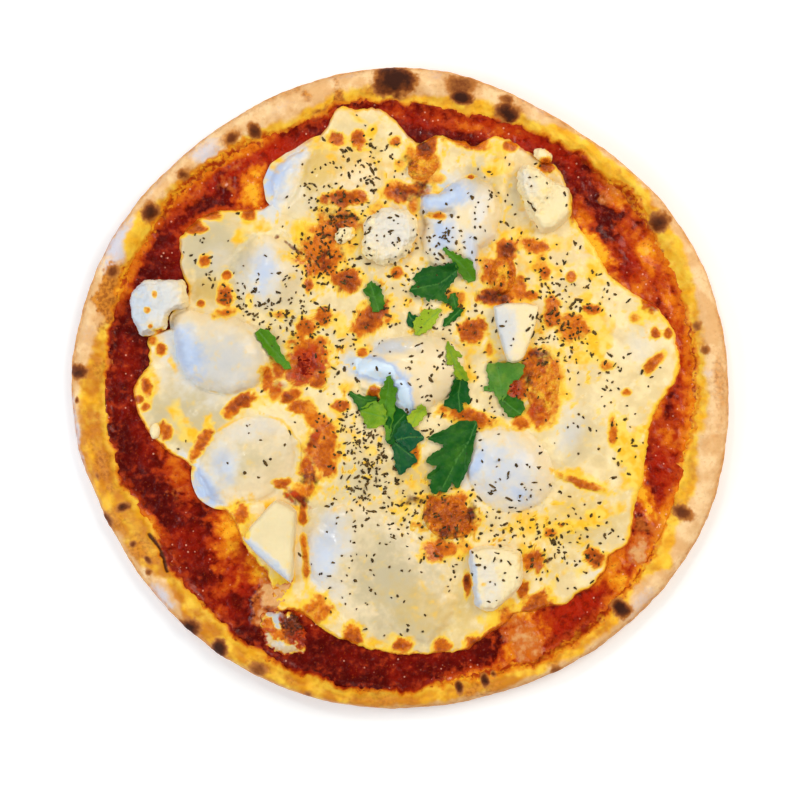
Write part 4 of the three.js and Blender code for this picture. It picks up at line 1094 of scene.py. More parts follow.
# marks on the cheese, and for each the seed, the raggedness and the softness of its edges
skinMarks = {
    "oil": (76, 0.55, 0.7), "toast": (71, 0.34, 0.62), "scorch": (77, 0.4, 0.8), "red": (78, 0.4, 0.7),
    "whiteAndSheen": (79, 0.25, 0.95), "dull": (80, 0.4, 0.9), "straw": (81, 0.4, 0.9), "shade": (84, 0.3, 0.95),
    "freckled": (74, 0.3, 0.8),
}


def skinMasks(x, y):
    inward = cheeseEdge(x, y) - np.hypot(x, y)
    masks = {key: marksAt(x, y, cheese[key], *edges) for key, edges in skinMarks.items()}
    freckles = smooth(0.32, 0.8, cloudy(2.6, 73, x, y, layers=2)) * masks.pop("freckled")
    cover = np.zeros(len(x))
    for name in dollops:
        cover = np.maximum(cover, 1 - smooth(*dollops[name]["fade"], outShare(x, y, lumps[name])))
    bare = 1 - 0.85 * cover
    footOilAndShade = footOilAndShadeAt(x, y)
    ripple = inward + 1.2 * cloudy(6, 75, x, y)
    whiteAndSheen = masks["whiteAndSheen"]
    oil = np.maximum(masks["oil"], 0.8 * smooth(0.15, 0.8, cloudy(16, 72, x, y)) * bare)
    oil = np.maximum(oil, 0.9 * footOilAndShade)
    edgeOil = (1 - smooth(0.4, 6, ripple)) * byAngle(cheese["edgeOil"], x, y)
    toast = np.maximum(masks["toast"], 0.5 * freckles * bare)
    # painted shade: a browner ring at the foot of each dollop
    toast = np.maximum(toast, 0.42 * smooth(0.5, 1, footOilAndShade))
    edgeToast = (1 - smooth(0.2, 3.2, ripple)) * byAngle(cheese["edgeToast"], x, y)
    masks["oil"] = np.maximum(oil, edgeOil * (1 - np.maximum(cover, whiteAndSheen)))
    masks["toast"] = np.maximum(toast, edgeToast * (1 - cover))
    masks["whiteAndSheen"] = whiteAndSheen * (1 - 0.9 * np.minimum(masks["toast"], 1))
    thin = 1 - smooth(0.3, 2.6, inward + 0.8 * cloudy(3, 82, x, y))
    masks["thin"] = thin * (1 - np.minimum(whiteAndSheen, 1)) * (1 - cover)
    masks["cream"] = cover
    return masks


def makeCheese():
    mesh, share, angle, level = discMesh("cheese_melted", cheese["steps"])
    x0, y0 = np.cos(angle), np.sin(angle)
    edge = cheeseEdge(x0, y0)
    x, y = share * edge * x0, share * edge * y0
    top = skinHeight(x, y)
    for lump in lumps.values():
        top -= 0.9 * np.clip((1.01 - outShare(x, y, lump)) / 0.08, 0, 1)
    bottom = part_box("mozzarella")[0].z / mm - cheese["seat"]
    placePoints(mesh, x, y, np.where(level == 0, top, bottom))
    paint(mesh, **skinMasks(x, y))
    return mesh


def makeLump(pieceName, name, steps):
    lump = lumps[name]
    mesh, share, angle, level = discMesh(pieceName, steps)
    out = share * lumpOverlap * lumpReach(lump, angle)
    x = lump["middle"][0] + out * np.cos(angle)
    y = lump["middle"][1] + out * np.sin(angle)
    top = skinHeight(x, y)
    top -= 1.0 * np.clip((outShare(x, y, lump) - 0.99) / 0.08, 0, 1)
    bottom = topOf("mozzarella") - lumpSeat
    placePoints(mesh, x, y, np.where(level == 0, np.maximum(top, bottom + 0.3), bottom))
    masks = skinMasks(x, y)
    if name in curds:
        masks["cream"] = 1 + 0 * x
        masks["oil"] = 0.3 * masks["oil"]
        masks["toast"] = np.maximum(masks["toast"], 0.5 + 0.14 * cloudy(3.5, 97, x, y))
    paint(mesh, **masks)
    return mesh


def dairyFinish(name, cream, sheenTone, roughness, rough, coat=0.0):
    # cream is its warm colour; the second colour is the bluish painted reflection of the light from the left;
    # rough is its fine relief in mm
    finish = Finish(name, roughness=roughness, Specular_IOR_Level=0.2, Coat_Weight=coat, Coat_Roughness=0.14)
    broad = finish.grain(12, detail=3)
    blotch = finish.grain(4.6, detail=4)
    fine = finish.grain(1.6, detail=4)
    speck = finish.grain(0.7, detail=3)
    spotty = finish.grain(2.8, detail=2)
    pool = finish.grain(5, detail=1.5)
    finish.colour = finish.shift(broad, 0.38, 0.62, tone(236, 210, 154), tone(252, 228, 172))
    finish.tint(blotch, 0.46, 0.7, tone(226, 200, 146), 0.45)
    finish.layer(finish.band(blotch, 0.3, 0.44, 0.5, 0), tone(253, 238, 198))
    finish.tint(finish.mask("cream"), 0.1, 0.9, cream)
    # greyer melt, partly painted shade
    finish.layer(finish.times(finish.broken("dull", broad, 0.5, 0.1, 1.0), 0.85), tone(206, 190, 150))
    finish.layer(finish.times(finish.broken("straw", blotch, 0.5, 0.1, 1.0), 0.85), tone(226, 188, 92))
    # whiter cream that turns to painted light: a lavender grey, then a bluish painted reflection, then a
    # near-white painted highlight
    whiteAndSheen = finish.stir(finish.mask("whiteAndSheen"), blotch, 0.2)
    finish.tint(whiteAndSheen, 0.06, 0.5, tone(230, 222, 208))
    finish.tint(whiteAndSheen, 0.3, 1.0, sheenTone)
    finish.tint(whiteAndSheen, 1.0, 1.5, tone(220, 236, 250))
    finish.layer(finish.times(finish.mask("shade"), 0.42), tone(150, 144, 132))
    finish.layer(finish.times(finish.broken("thin", fine, 0.5, 0.1, 1.0), 0.7), tone(206, 110, 34))
    oily = finish.shift(pool, 0.4, 0.66, tone(253, 216, 92), tone(250, 190, 40))
    finish.layer(finish.broken("oil", pool, 0.8, 0.24, 0.9), oily)
    heat = finish.stir(finish.stir(finish.mask("toast"), pool, 0.5), fine, 0.16)
    crinkled = finish.stir(finish.stir(heat, spotty, 0.9), fine, 0.16 + 0.5 * rough)
    finish.tint(heat, 0.02, 0.3, tone(254, 208, 56), 0.9)
    finish.tint(heat, 0.24, 0.6, tone(226, 122, 14))
    finish.tint(crinkled, 0.42, 0.9, tone(178, 78, 8))
    finish.tint(crinkled, 0.8, 1.3, tone(104, 36, 3))
    # painted highlight: light specks on the crinkles of the browned parts
    toastHighlight = finish.times(finish.band(speck, 0.56, 0.74, 0, 0.35), finish.band(heat, 0.4, 0.7))
    finish.layer(toastHighlight, tone(240, 156, 40))
    burnt = finish.shift(spotty, 0.38, 0.6, tone(136, 24, 2), tone(196, 66, 8))
    finish.layer(finish.broken("red", spotty, 0.8, 0.2, 0.9), burnt)
    scorched = finish.shift(fine, 0.35, 0.6, tone(60, 22, 4), tone(124, 46, 6))
    finish.layer(finish.broken("scorch", spotty, 0.9, 0.35, 1.0), scorched)
    finish.put("Base Color", finish.colour)
    finish.put("Roughness", finish.band(heat, 0.2, 0.7, roughness, roughness - 0.06))
    finish.letLightIn(0.12, (1.0, 0.7, 0.45), 1.6)
    finish.bump((fine, rough), (finish.times(speck, finish.band(heat, 0.2, 0.6)), 0.2),
                (finish.times(spotty, finish.band(heat, 0.2, 0.6)), 0.6))
    return finish.material


cheeseFinish = dairyFinish("meltedMozzarella", tone(238, 212, 160), tone(204, 210, 214), 0.34, 0.10, 0.1)
mascarponeFinish = dairyFinish("mascarpone", tone(246, 224, 180), tone(188, 204, 232), 0.30, 0.05, 0.2)
curdFinish = dairyFinish("brownedCurd", tone(240, 144, 16), tone(230, 200, 150), 0.36, 0.6, 0.15)

publish(makeCheese(), cheeseFinish, ["mozzarella"])
for i, name in enumerate(dollops, 1):
    steps = 130 if name == "mascarpone_8" else 96  # the last one is large
    publish(makeLump(f"mascarpone_dollop_{i}", name, steps), mascarponeFinish, [name])
for i, name in enumerate(curds, 1):
    publish(makeLump(f"curd_browned_{i}", name, 56), curdFinish, [name])
print("cheese melted")


# cut and crumbled cheese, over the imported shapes

cut = {"seat": 1.3, "grid": 0.55}  # mm: how far a piece sinks into what it lies on, and its mesh size
chunks = {
    # crumble: relief in mm at sizes of 6, 2.6 and 1.1 mm; soften: rounds of smoothing
    # smoothSide: x and y of the way towards a smooth face, and how far out that face starts
    # the third entry of each is how much bluish painted reflection its sides that face left take
    "cheese_chunk_1": {"crumble": (0.8, 0.5, 0.2), "soften": 3, "whiteAndSheen": 0.5},
    "cheese_chunk_2": {"crumble": (1.1, 0.75, 0.3), "soften": 3, "whiteAndSheen": 0.15},
    "cheese_chunk_3": {"crumble": (1.3, 1.0, 0.4), "soften": 2, "whiteAndSheen": 0.05, "dull": 0.25,
                       "smoothSide": (0.75, -0.65, 1)},
    "cheese_chunk_4": {"crumble": (0.25, 0.15, 0.06), "soften": 3, "whiteAndSheen": 0.3, "dull": 0.1},
    "cheese_chunk_5": {"crumble": (0.15, 0.1, 0.05), "soften": 2, "whiteAndSheen": 0.15, "dull": 0.4},
    "cheese_chunk_6": {"crumble": (0.5, 0.35, 0.12), "soften": 3, "whiteAndSheen": 0.12, "dull": 0.15},
    "cheese_crumb_1": {"crumble": (1.1, 0.9, 0.3), "soften": 2, "whiteAndSheen": 0.2},
    "cheese_crumb_2": {"crumble": (0.4, 0.5, 0.2), "soften": 2, "whiteAndSheen": 0.0},
    "cheese_crumb_3": {"crumble": (0.3, 0.3, 0.1), "soften": 2, "whiteAndSheen": 0.1},
}
chunkMarks = {
    "oil": [
        (-118, 27, 10, 8, 0, 0.8), (-77, -71, 6, 7, 0, 0.9), (-71, -70, 4, 4, 0, 0.5),
        (85, 91, 5, 18, 0, 0.9), (-52, -86, 3, 24, 4, 0.7), (59, -86, 4, 18, 0, 0.5), (72, 114, 7, 6, 0, 0.6),
        (41, -97, 4, 3, 0, 0.7),
    ],
    "toast": [
        (-118, 27, 10, 5, 0, 0.8), (-115, 33, 3, 7, 20, 0.7), (-126, 39, 3, 3, 0, 0.5),
        (-122, 47, 2.5, 3, 0, 0.5), (87, 91, 4, 16, 0, 0.9), (72, 113, 6, 5, 0, 0.9),
        (-124, 31, 2, 2, 0, 0.6), (34, -97, 3, 8, 0, 0.6), (-51, -58, 3, 4, 0, 0.4),
    ],
    "scorch": [(-115, 32, 4, 3, 0, 0.6), (72, 112, 3, 2, 0, 0.6)],
    "whiteAndSheen": [
        (-131, 42, 12, 26, 10, 1.1), (-121, 42, 22, 24, 0, 0.4), (-4, 78, 26, 24, 0, 0.35),
        (51, 31, 12, 26, 8, 0.5), (35.5, -96, 5, 34, 8, 1.2), (44, -96, 12, 26, 0, 0.3),
        (-68, -84, 34, 6, -42, 1), (63, 102, 8, 20, 30, 0.3), (-119, 44, 4, 20, 10, 0.5),
    ],
}


def makeChunk(pieceName, name):
    look = chunks[name]
    bm = bmesh.new()
    bm.from_mesh(nodes[name].data)
    bmesh.ops.remove_doubles(bm, verts=bm.verts, dist=1e-5)
    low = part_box(name)[0]
    bottom = [v for v in bm.verts if v.co.z < low.z + 0.3 * mm]
    bmesh.ops.translate(bm, verts=bottom, vec=(0, 0, -cut["seat"] * mm))
    rough = bpy.data.objects.new("roughChunk", toMesh(bm, "roughChunk"))
    scene.collection.objects.link(rough)
    remesh = rough.modifiers.new("even", "REMESH")
    remesh.mode = "VOXEL"
    remesh.voxel_size = cut["grid"] * mm
    mesh = bpy.data.meshes.new_from_object(rough.evaluated_get(bpy.context.evaluated_depsgraph_get()))
    bpy.data.objects.remove(rough)
    bm = bmesh.new()
    bm.from_mesh(mesh)
    bpy.data.meshes.remove(mesh)
    for turn in range(look["soften"]):
        bmesh.ops.smooth_vert(bm, verts=bm.verts, factor=0.5, use_axis_x=True, use_axis_y=True,
                              use_axis_z=True)
    bm.normal_update()
    mesh = toMesh(bm, pieceName)
    x, y, z = pointsOf(mesh).T / mm
    nx, ny, nz = pointsOf(mesh, "normal").T
    seed = 100 + 10 * list(chunks).index(name)
    coarse, medium, fine = look["crumble"]
    relief = (coarse * cloudy(6, seed, x, y, z, layers=2)
              + medium * (1 - 2 * np.abs(noise(2.6, seed + 1, x, y, z)))
              + fine * (1 - 2 * np.abs(noise(1.1, seed + 2, x, y, z))) - 0.4 * medium)
    if "smoothSide" in look:
        sideX, sideY, least = look["smoothSide"]
        midX, midY = middleOf(name)
        relief *= 1 - 0.85 * smooth(least, least + 4, (x - midX) * sideX + (y - midY) * sideY)
    x, y, z = x + relief * nx, y + relief * ny, z + relief * nz
    placePoints(mesh, x, y, z)
    foot = 1 - smooth(low.z / mm - 0.5, low.z / mm + 1.6, z + 0.5 * cloudy(4, seed, x, y))
    masks = {key: marksAt(x, y, chunkMarks[key], 91, ragged=0.3, soft=0.6) for key in chunkMarks}
    masks["oil"] = np.maximum(masks["oil"], 0.8 * foot)
    masks["toast"] = np.maximum(masks["toast"], 0.5 * foot)
    # painted reflection: sides that face left take the bluish sheen of the light from the left
    masks["whiteAndSheen"] = np.clip(masks["whiteAndSheen"] + look["whiteAndSheen"] * (0.5 - 0.5 * nx), 0, 1)
    masks["toast"] *= smooth(-1, 0.2, nz)
    none = 0 * x
    paint(mesh, cream=none + 1, dull=none + look.get("dull", 0), red=none, straw=none, shade=none,
          thin=none, **masks)
    return mesh


cutFinish = dairyFinish("cutCheese", tone(248, 228, 178), tone(204, 210, 218), 0.5, 0.12)
for name in chunks:
    publish(makeChunk(name.replace("cheese_", "cut_"), name), cutFinish, [name])
print("chunks crumbled")


# the melted scrap that lies out on the sauce

scrap = {
    "node": "outlying_mozzarella", "steps": 70, "overlap": 1.04,
    "keep": 0.55, "seat": 1.6,  # how much of its packed height it keeps, and mm into the sauce
    "bubbles": [
        (-68, -115, 9, 8, 0, 1.6), (-64, -104, 12, 9, 30, 1.0), (-58, -113, 12, 8, 20, 1.1),
        (-52, -118, 14, 10, 0, 1.6), (-62, -122, 12, 8, -35, 1.2), (-57, -128, 9, 6, -40, 1.0),
    ],
    "toast": [
        (-54, -121, 12, 9, 20, 1.0), (-48, -126, 10, 8, 0, 0.7), (-52, -110, 14, 8, 0, 0.6),
        (-67, -117, 6, 7, 0, 0.6), (-60, -124, 12, 6, -30, 0.6), (-70, -112, 4, 8, 0, 0.5),
        (-47, -114, 8, 12, 0, 0.7),
    ],
    "scorch": [(-53, -118, 12, 10, 0, 1.1), (-56, -124, 8, 6, 0, 0.6)],
    "red": [(-50, -122, 14, 14, 0, 0.9), (-58, -116, 4, 12, 30, 0.8), (-68, -121, 8, 3, 0, 0.6)],
    "oil": [(-54, -108, 18, 8, -30, 0.8)],
    "whiteAndSheen": [(-64, -114, 10, 18, 20, 1.0), (-60, -126, 9, 6, 0, 0.5)],
}


def makeScrap():
    middle = middleOf(scrap["node"])
    reach = reachOf(scrap["node"], middle)
    mesh, share, angle, level = discMesh("scrap_melted", scrap["steps"])
    ripple = 1 + 0.2 * cloudy(5, 95, 12 * np.cos(angle), 12 * np.sin(angle))
    out = share * scrap["overlap"] * ripple * reach(angle)
    x, y = middle[0] + out * np.cos(angle), middle[1] + out * np.sin(angle)
    low, high = (corner.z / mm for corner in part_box(scrap["node"]))
    top = low - 0.8 + scrap["keep"] * (high - low) * (1 - share ** 3) ** 0.6 + 0.4 * cloudy(3.5, 96, x, y)
    for midX, midY, length, width, turn, rise in scrap["bubbles"]:
        top += rise * bumpAt(x - midX, y - midY, length, width, turn)
    placePoints(mesh, x, y, np.where(level == 0, top, low - scrap["seat"]))
    marked = ("toast", "scorch", "red", "oil", "whiteAndSheen")
    masks = {key: marksAt(x, y, scrap[key], 97, ragged=0.5) for key in marked}
    edge = smooth(0.8, 1.0, share) * smooth(-0.4, 0.6, cloudy(6, 98, x, y))
    masks["toast"] = np.maximum(masks["toast"], 0.7 * edge)
    masks["red"] = np.maximum(masks["red"], 0.9 * smooth(0.8, 1.0, share + 0.14 * cloudy(3, 99, x, y)))
    none = 0 * x
    paint(mesh, cream=none + 1, dull=none + 0.4, straw=none, shade=none + 0.5,
          thin=0.6 * smooth(0.6, 1, share), **masks)
    return mesh


publish(makeScrap(), cheeseFinish, [scrap["node"]])


# parsley leaves: each is drawn in the pizza's axes round the middle of its node, and moves with that node

parsley = {
    "thickness": 0.28, "lift": 0.45, "edge": 0.75, "teeth": 0.65,  # mm; edge is the size of a face
    "rib": 0.45, "vein": 0.38, "veinShare": 0.62,  # half widths in mm, and how strong a side vein is
    "rim": 0.55, "dish": 0.24, "ripple": 0.22, "groove": 0.2,  # relief: along the rim and away from the veins
}
leaves = [
    {"node": "parsley_1", "middle": (15.5, 53), "light": 0.12, "teal": 0.25, "curl": 1.2,
     "outline": [
         (4.3, 49.6), (6, 47.6), (9.2, 46.3), (12.6, 45.4), (13.6, 43.4), (14.8, 44.9), (18, 44.8),
         (21, 43.6), (24.3, 42.6), (23, 45.3), (21.8, 48), (23.2, 50.4), (25.2, 52.8), (27.2, 55.3),
         (28.2, 59), (27.5, 62.5), (24.5, 62.3), (20.5, 61.1), (16, 61), (12, 60.4), (9, 58.2), (6, 55.4),
         (6.6, 54.2), (8.4, 53.6), (6.4, 51.8),
     ],
     "veins": [
         [(28, 59), (19, 52.5), (5, 49.8)], [(27, 58), (18, 58), (7, 55.4)], [(24, 56), (20, 50), (14, 44.5)],
         [(25, 55), (23, 49), (23.5, 44)], [(26.5, 61), (26.8, 57), (25.5, 54)],
     ]},
    {"node": "parsley_2", "middle": (29, 62), "light": 0.35, "teal": 0.0, "curl": 1.0,
     "outline": [
         (20.8, 70), (24.5, 68.2), (28, 66.4), (31.5, 64.6), (34.8, 63.6), (36, 60), (37.4, 55.3),
         (34.5, 53.3), (32.5, 54.4), (29.6, 57.4), (28, 60), (26.6, 62.6), (24.6, 64.8), (23, 66.4),
         (21.4, 68.4),
     ],
     "veins": [
         [(36, 54.5), (31, 61), (21.5, 69.3)], [(32, 60), (34, 61), (35, 63)],
         [(28, 64), (30, 64), (31, 64.6)],
     ]},
    {"node": "parsley_3", "middle": (26, 43), "light": 0.15, "teal": 0.1, "curl": 0.6,
     "outline": [
         (24, 43.6), (24.6, 46.5), (26.4, 48.1), (28, 46), (28.5, 43), (28, 40.4), (26.4, 39.6), (25.2, 41.4),
     ],
     "veins": [[(27.6, 40.4), (26.6, 44), (26, 47.6)]]},
    {"node": "parsley_3", "name": "parsley_spear", "middle": (26, 43), "light": 0.05, "teal": 0.1,
     "curl": 0.6,
     "outline": [
         (27.6, 40.4), (30.9, 40), (30, 37.4), (28, 35.4), (25, 33.2), (21.7, 31), (21.4, 34), (24, 36.6),
         (26.4, 39),
     ],
     "veins": [[(29.6, 39.4), (26, 36), (21.8, 31.4)]]},
    {"node": "parsley_4", "middle": (13, 34), "light": 1.0, "teal": 0.0, "curl": 0.8,
     "outline": [
         (7.4, 26.8), (6.9, 29.4), (6.2, 32.6), (7, 34.6), (9.6, 36.6), (10.8, 39.2), (14, 39.4), (17, 39.6),
         (20, 39.9), (18.6, 36.8), (17.4, 34), (15.6, 31.2), (13, 29), (10, 27.4),
     ],
     "veins": [
         [(7.6, 27.4), (13, 34), (19.6, 39.6)], [(10, 30), (9.5, 34), (10.6, 38)],
         [(13, 33.5), (15, 36), (16, 39)],
     ]},
    {"node": "parsley_4", "name": "parsley_tuck", "middle": (13, 34), "light": 0.1, "teal": 0.5, "curl": 0.3,
     "outline": [(3.4, 31.6), (3.5, 38.3), (6, 36.8), (8.6, 36), (7.4, 33.6), (6.8, 31)],
     "veins": [[(7.6, 34), (5, 35), (3.6, 37.6)]]},
    {"node": "parsley_5", "middle": (-13, 46), "light": 0.25, "teal": 0.05, "curl": 0.9,
     "outline": [
         (-18.9, 48.6), (-17, 51.3), (-15.3, 53.7), (-13.6, 52.8), (-12, 51.6), (-10.2, 50.3), (-9.4, 47.5),
         (-8.4, 43.8), (-8.8, 41), (-10.5, 39.3), (-13.4, 38.4), (-14.6, 40.8), (-15.2, 43.5), (-16, 46.3),
     ],
     "veins": [
         [(-11, 39), (-13, 46), (-15.6, 53)], [(-12.6, 45), (-15, 47), (-18, 48.6)],
         [(-12.6, 46), (-11, 48), (-10, 49.6)],
     ]},
    {"node": "parsley_6", "middle": (-63.5, 19.5), "light": 0.45, "teal": 0.0, "curl": 1.0,
     "outline": [
         (-72.4, 27), (-71, 29.6), (-67.4, 29.6), (-64, 27), (-61.6, 22.5), (-59.6, 17.5), (-57, 14),
         (-54.8, 11), (-57, 9.8), (-60.6, 12.6), (-64.6, 16.4), (-67.6, 20), (-70, 23.6),
     ],
     "veins": [
         [(-55.6, 10.6), (-63, 19), (-71, 28.6)], [(-64, 20), (-63, 23), (-64, 26)],
         [(-66, 23), (-68, 23), (-69, 24)],
     ]},
    {"node": "parsley_7", "middle": (-19, -4), "light": 0.15, "teal": 0.1, "curl": 0.6,
     "outline": [
         (-26, -1.4), (-22, -2.8), (-18, -3.8), (-13, -3.8), (-11.6, -6), (-15, -8), (-20, -10.8),
         (-22.5, -7.5), (-24.5, -4.5),
     ],
     "veins": [[(-12, -5.6), (-18, -5.6), (-25.4, -2)]]},
    {"node": "parsley_12", "name": "parsley_under", "middle": (-5, -10.5), "light": -0.1, "teal": 0.1,
     "curl": 0.5,
     "outline": [
         (-5, -7), (-1, -9.6), (3, -12.4), (3.2, -15.6), (1, -18), (-1.6, -22), (-3.4, -27), (-7, -27),
         (-7.6, -20), (-6, -12),
     ],
     "veins": [[(-5.5, -25), (-3, -18), (1.6, -13)]]},
    {"node": "parsley_8", "middle": (-13.5, -13.5), "light": 0.75, "teal": 0.0, "curl": 1.0,
     "outline": [
         (-20.5, -10.8), (-17.5, -8), (-14, -6.2), (-10, -7.3), (-8, -10), (-7.4, -14), (-7.8, -16.6),
         (-11, -18.6), (-15.8, -19.8), (-17.6, -17.5), (-19, -14),
     ],
     "veins": [
         [(-7.8, -14), (-13, -13), (-20, -11)], [(-10, -14), (-13, -17), (-15.6, -19.4)],
         [(-11, -12.5), (-14, -9.6), (-14.4, -6.6)],
     ]},
    {"node": "parsley_11", "middle": (3, -24), "light": 0.1, "teal": 1.0, "curl": 0.9,
     "outline": [
         (1.5, -15.6), (4, -17.2), (7, -20.5), (11.6, -24), (8, -27.5), (5, -31.2), (2, -29), (-1, -27),
         (-3.4, -24), (-1.8, -21), (0, -18),
     ],
     "veins": [
         [(-3, -25.6), (4, -24), (11, -24)], [(-1, -25.4), (3, -21), (2.4, -16.6)],
         [(1, -24.8), (4, -28), (5, -30.6)],
     ]},
    {"node": "parsley_10", "middle": (0.5, -36), "light": 0.05, "teal": 0.8, "curl": 0.8,
     "outline": [
         (-4.2, -26), (-1, -27.4), (2, -29.3), (5, -32), (8.2, -35.4), (5.5, -38), (2.5, -40.2), (0, -43),
         (-2.4, -39.5), (-3, -36), (-3.8, -31),
     ],
     "veins": [[(-4, -26.4), (0, -29.4), (6, -34.2)], [(-3.4, -28), (-0.6, -34), (-0.2, -41.6)]]},
    {"node": "parsley_9", "middle": (7.5, -12.5), "light": 0.95, "teal": 0.0, "curl": 0.7,
     "outline": [
         (3, -14.8), (5, -12), (8, -9.8), (9.5, -8), (11.5, -8.6), (13, -11.5), (11, -14.5), (9, -17),
         (7, -19), (4.5, -17),
     ],
     "veins": [[(5.6, -17.6), (8, -13), (11.6, -9.4)]]},
    {"node": "parsley_12", "middle": (-5, -10.5), "light": 0.4, "teal": 0.0, "curl": 0.8,
     "outline": [
         (-6, 6.6), (-4.6, 4.8), (-3.6, 0.4), (-2.2, 0.8), (-2.8, -4), (-3.2, -9), (-4, -14), (-5, -19),
         (-5.6, -24), (-7, -26), (-8, -20), (-8.6, -14), (-10.6, -8), (-10.4, -4), (-10, 0.4), (-8.8, 0),
         (-8.4, 2.7), (-7.4, 4.8),
     ],
     "veins": [[(-5.8, -25), (-5.6, -18), (-8.4, -11), (-6.4, 0), (-6, 6)]]},
    {"node": "parsley_14", "middle": (28.4, 14), "light": 0.8, "teal": 0.0, "curl": 0.8,
     "outline": [
         (23, 23.8), (25, 21.6), (27.5, 19), (30.8, 16.6), (27.6, 15.6), (28.5, 13.4), (30, 11.5), (31.8, 9),
         (33.5, 5.5), (33.2, 3.8), (29, 4.6), (26.5, 7), (26.8, 10), (26, 12.4), (23.4, 11.8), (22.8, 15),
         (22.7, 19),
     ],
     "veins": [[(32.6, 4.4), (28, 10), (25.6, 15), (23.4, 22.6)], [(25.4, 16), (28, 17), (30, 16.8)]]},
    {"node": "parsley_13", "middle": (29, -3.5), "light": 0.0, "teal": 0.2, "curl": 0.7,
     "outline": [
         (27, 5.4), (29.5, 4.6), (32.5, 3.8), (33.5, 0.8), (33.8, -3), (34.4, -7.4), (31.6, -6.4), (30.2, -7),
         (31, -9), (29.6, -11.8), (27, -9.8), (22.2, -8.6), (21.4, -6.8), (24, -4), (25, -0.5), (26, 3),
     ],
     "veins": [
         [(29.6, 4), (28.6, -3), (29.4, -10.8)], [(28.8, -1), (25, -4.6), (22.2, -7.4)],
         [(28.8, -1), (31.6, -3.6), (33.8, -6.6)],
     ]},
    {"node": "parsley_16", "middle": (56, -9), "light": 0.2, "teal": 0.0, "curl": 0.7,
     "outline": [
         (52, -3), (56, -4.3), (60, -5.8), (61.7, -9), (60.6, -12), (57, -13.8), (54.5, -14.2), (52.4, -12),
         (51, -9.5), (49.3, -7), (50.6, -4.6),
     ],
     "veins": [[(51, -5.6), (55, -9), (59.6, -12.4)], [(53, -7), (57, -7), (60.6, -7.6)]]},
    {"node": "parsley_15", "middle": (51.4, 4), "light": 0.62, "teal": 0.45, "curl": 1.0,
     "outline": [
         (43, 12), (47, 12.8), (52, 13), (57, 12.7), (61.2, 12.4), (61, 9), (59.5, 5.5), (56, 4), (54, 1.5),
         (53, -2), (51, -5.8), (50, -7.8), (48, -4), (46, -1), (42.5, -1), (41.3, 0.6), (44, 2), (44, 5),
         (43.2, 8),
     ],
     "veins": [
         [(50.2, -7), (50, 2), (48, 12)], [(50, 1), (54, 6), (60.4, 11.6)], [(50, 0.6), (47, 1), (42.4, 0)],
         [(49.8, 4), (46, 8), (43.6, 11.4)],
     ]},
    {"node": "parsley_17", "middle": (28.2, -33.5), "light": 0.1, "teal": 0.2, "curl": 1.4, "teeth": 0.35,
     "outline": [
         (37.8, -16.2), (34, -16), (30, -15.8), (26, -17.8), (22, -20.3), (18, -21.8), (13.4, -24.6),
         (16, -26.2), (18.5, -27), (21, -27.8), (20.8, -29.2), (19, -30.6), (16.5, -31.6), (14.5, -33.4),
         (12.4, -35.8), (14.5, -37.7), (18, -38.4), (17, -40), (14, -42), (12.8, -44.4), (15.3, -45.4),
         (14.5, -48), (15, -51), (17, -52.6), (19.5, -50.8), (22, -51.8), (24, -49.5), (25.6, -46.4),
         (26.6, -48.4), (28.4, -49.7), (30.4, -46), (32.4, -42), (34, -37.5), (35.4, -32), (36.4, -26),
         (37.8, -20),
     ],
     "veins": [
         [(37.4, -17), (34, -26), (28, -35), (21, -49)], [(36.6, -19.6), (28, -22), (15, -24.6)],
         [(34, -26), (26, -31), (14, -35.8)], [(31, -31), (24, -38), (14.4, -44)],
         [(32.6, -29), (31.6, -40), (28.4, -48.4)],
     ]},
]


def curveThrough(corners, pieces):
    # a closed smooth outline through corners; the tension keeps the teeth sharp
    points = np.array(corners, float)
    before, after, later = np.roll(points, 1, 0), np.roll(points, -1, 0), np.roll(points, -2, 0)
    tension = 0.3
    steps = []
    for t in np.arange(pieces) / pieces:
        here, leaving = 2 * t ** 3 - 3 * t ** 2 + 1, t ** 3 - 2 * t ** 2 + t
        there, arriving = 3 * t ** 2 - 2 * t ** 3, t ** 3 - t ** 2
        steps.append(here * points + leaving * tension * (after - before) + there * after
                     + arriving * tension * (later - points))
    return np.stack(steps, axis=1).reshape(-1, 2)


def outlineOf(leaf):
    # the outline of a leaf, with a tooth pushed out between each two corners
    outline = curveThrough(leaf["outline"], 3)
    along = np.roll(outline, -1, 0) - np.roll(outline, 1, 0)
    across = np.stack([along[:, 1], -along[:, 0]], axis=1) / np.maximum(np.hypot(*along.T), 1e-6)[:, None]
    x, y = outline.T
    turned = np.sign(np.sum(x * np.roll(y, -1) - y * np.roll(x, -1)))
    outline[1::3] += leaf.get("teeth", parsley["teeth"]) * turned * across[1::3]
    return outline


def fillOutline(outline):
    # a flat sheet of small even triangles, facing up
    bm = bmesh.new()
    bm.faces.new([bm.verts.new((px, py, 0)) for px, py in outline])
    bm.normal_update()
    bmesh.ops.triangulate(bm, faces=bm.faces)
    for turn in range(7):
        long = [e for e in bm.edges if e.calc_length() > parsley["edge"] * 1.4 and not e.is_boundary]
        long += [e for e in bm.edges if e.calc_length() > parsley["edge"] * 1.8 and e.is_boundary]
        if not long:
            break
        bmesh.ops.subdivide_edges(bm, edges=long, cuts=1)
        bmesh.ops.triangulate(bm, faces=bm.faces)
        bmesh.ops.beautify_fill(bm, faces=bm.faces, edges=[e for e in bm.edges if not e.is_boundary])
    inner = [v for v in bm.verts if not v.is_boundary]
    for turn in range(3):
        bmesh.ops.smooth_vert(bm, verts=inner, factor=0.5, use_axis_x=True, use_axis_y=True)
    bmesh.ops.recalc_face_normals(bm, faces=bm.faces)
    if sum(f.normal.z for f in bm.faces) < 0:
        bmesh.ops.reverse_faces(bm, faces=bm.faces)
    return bm


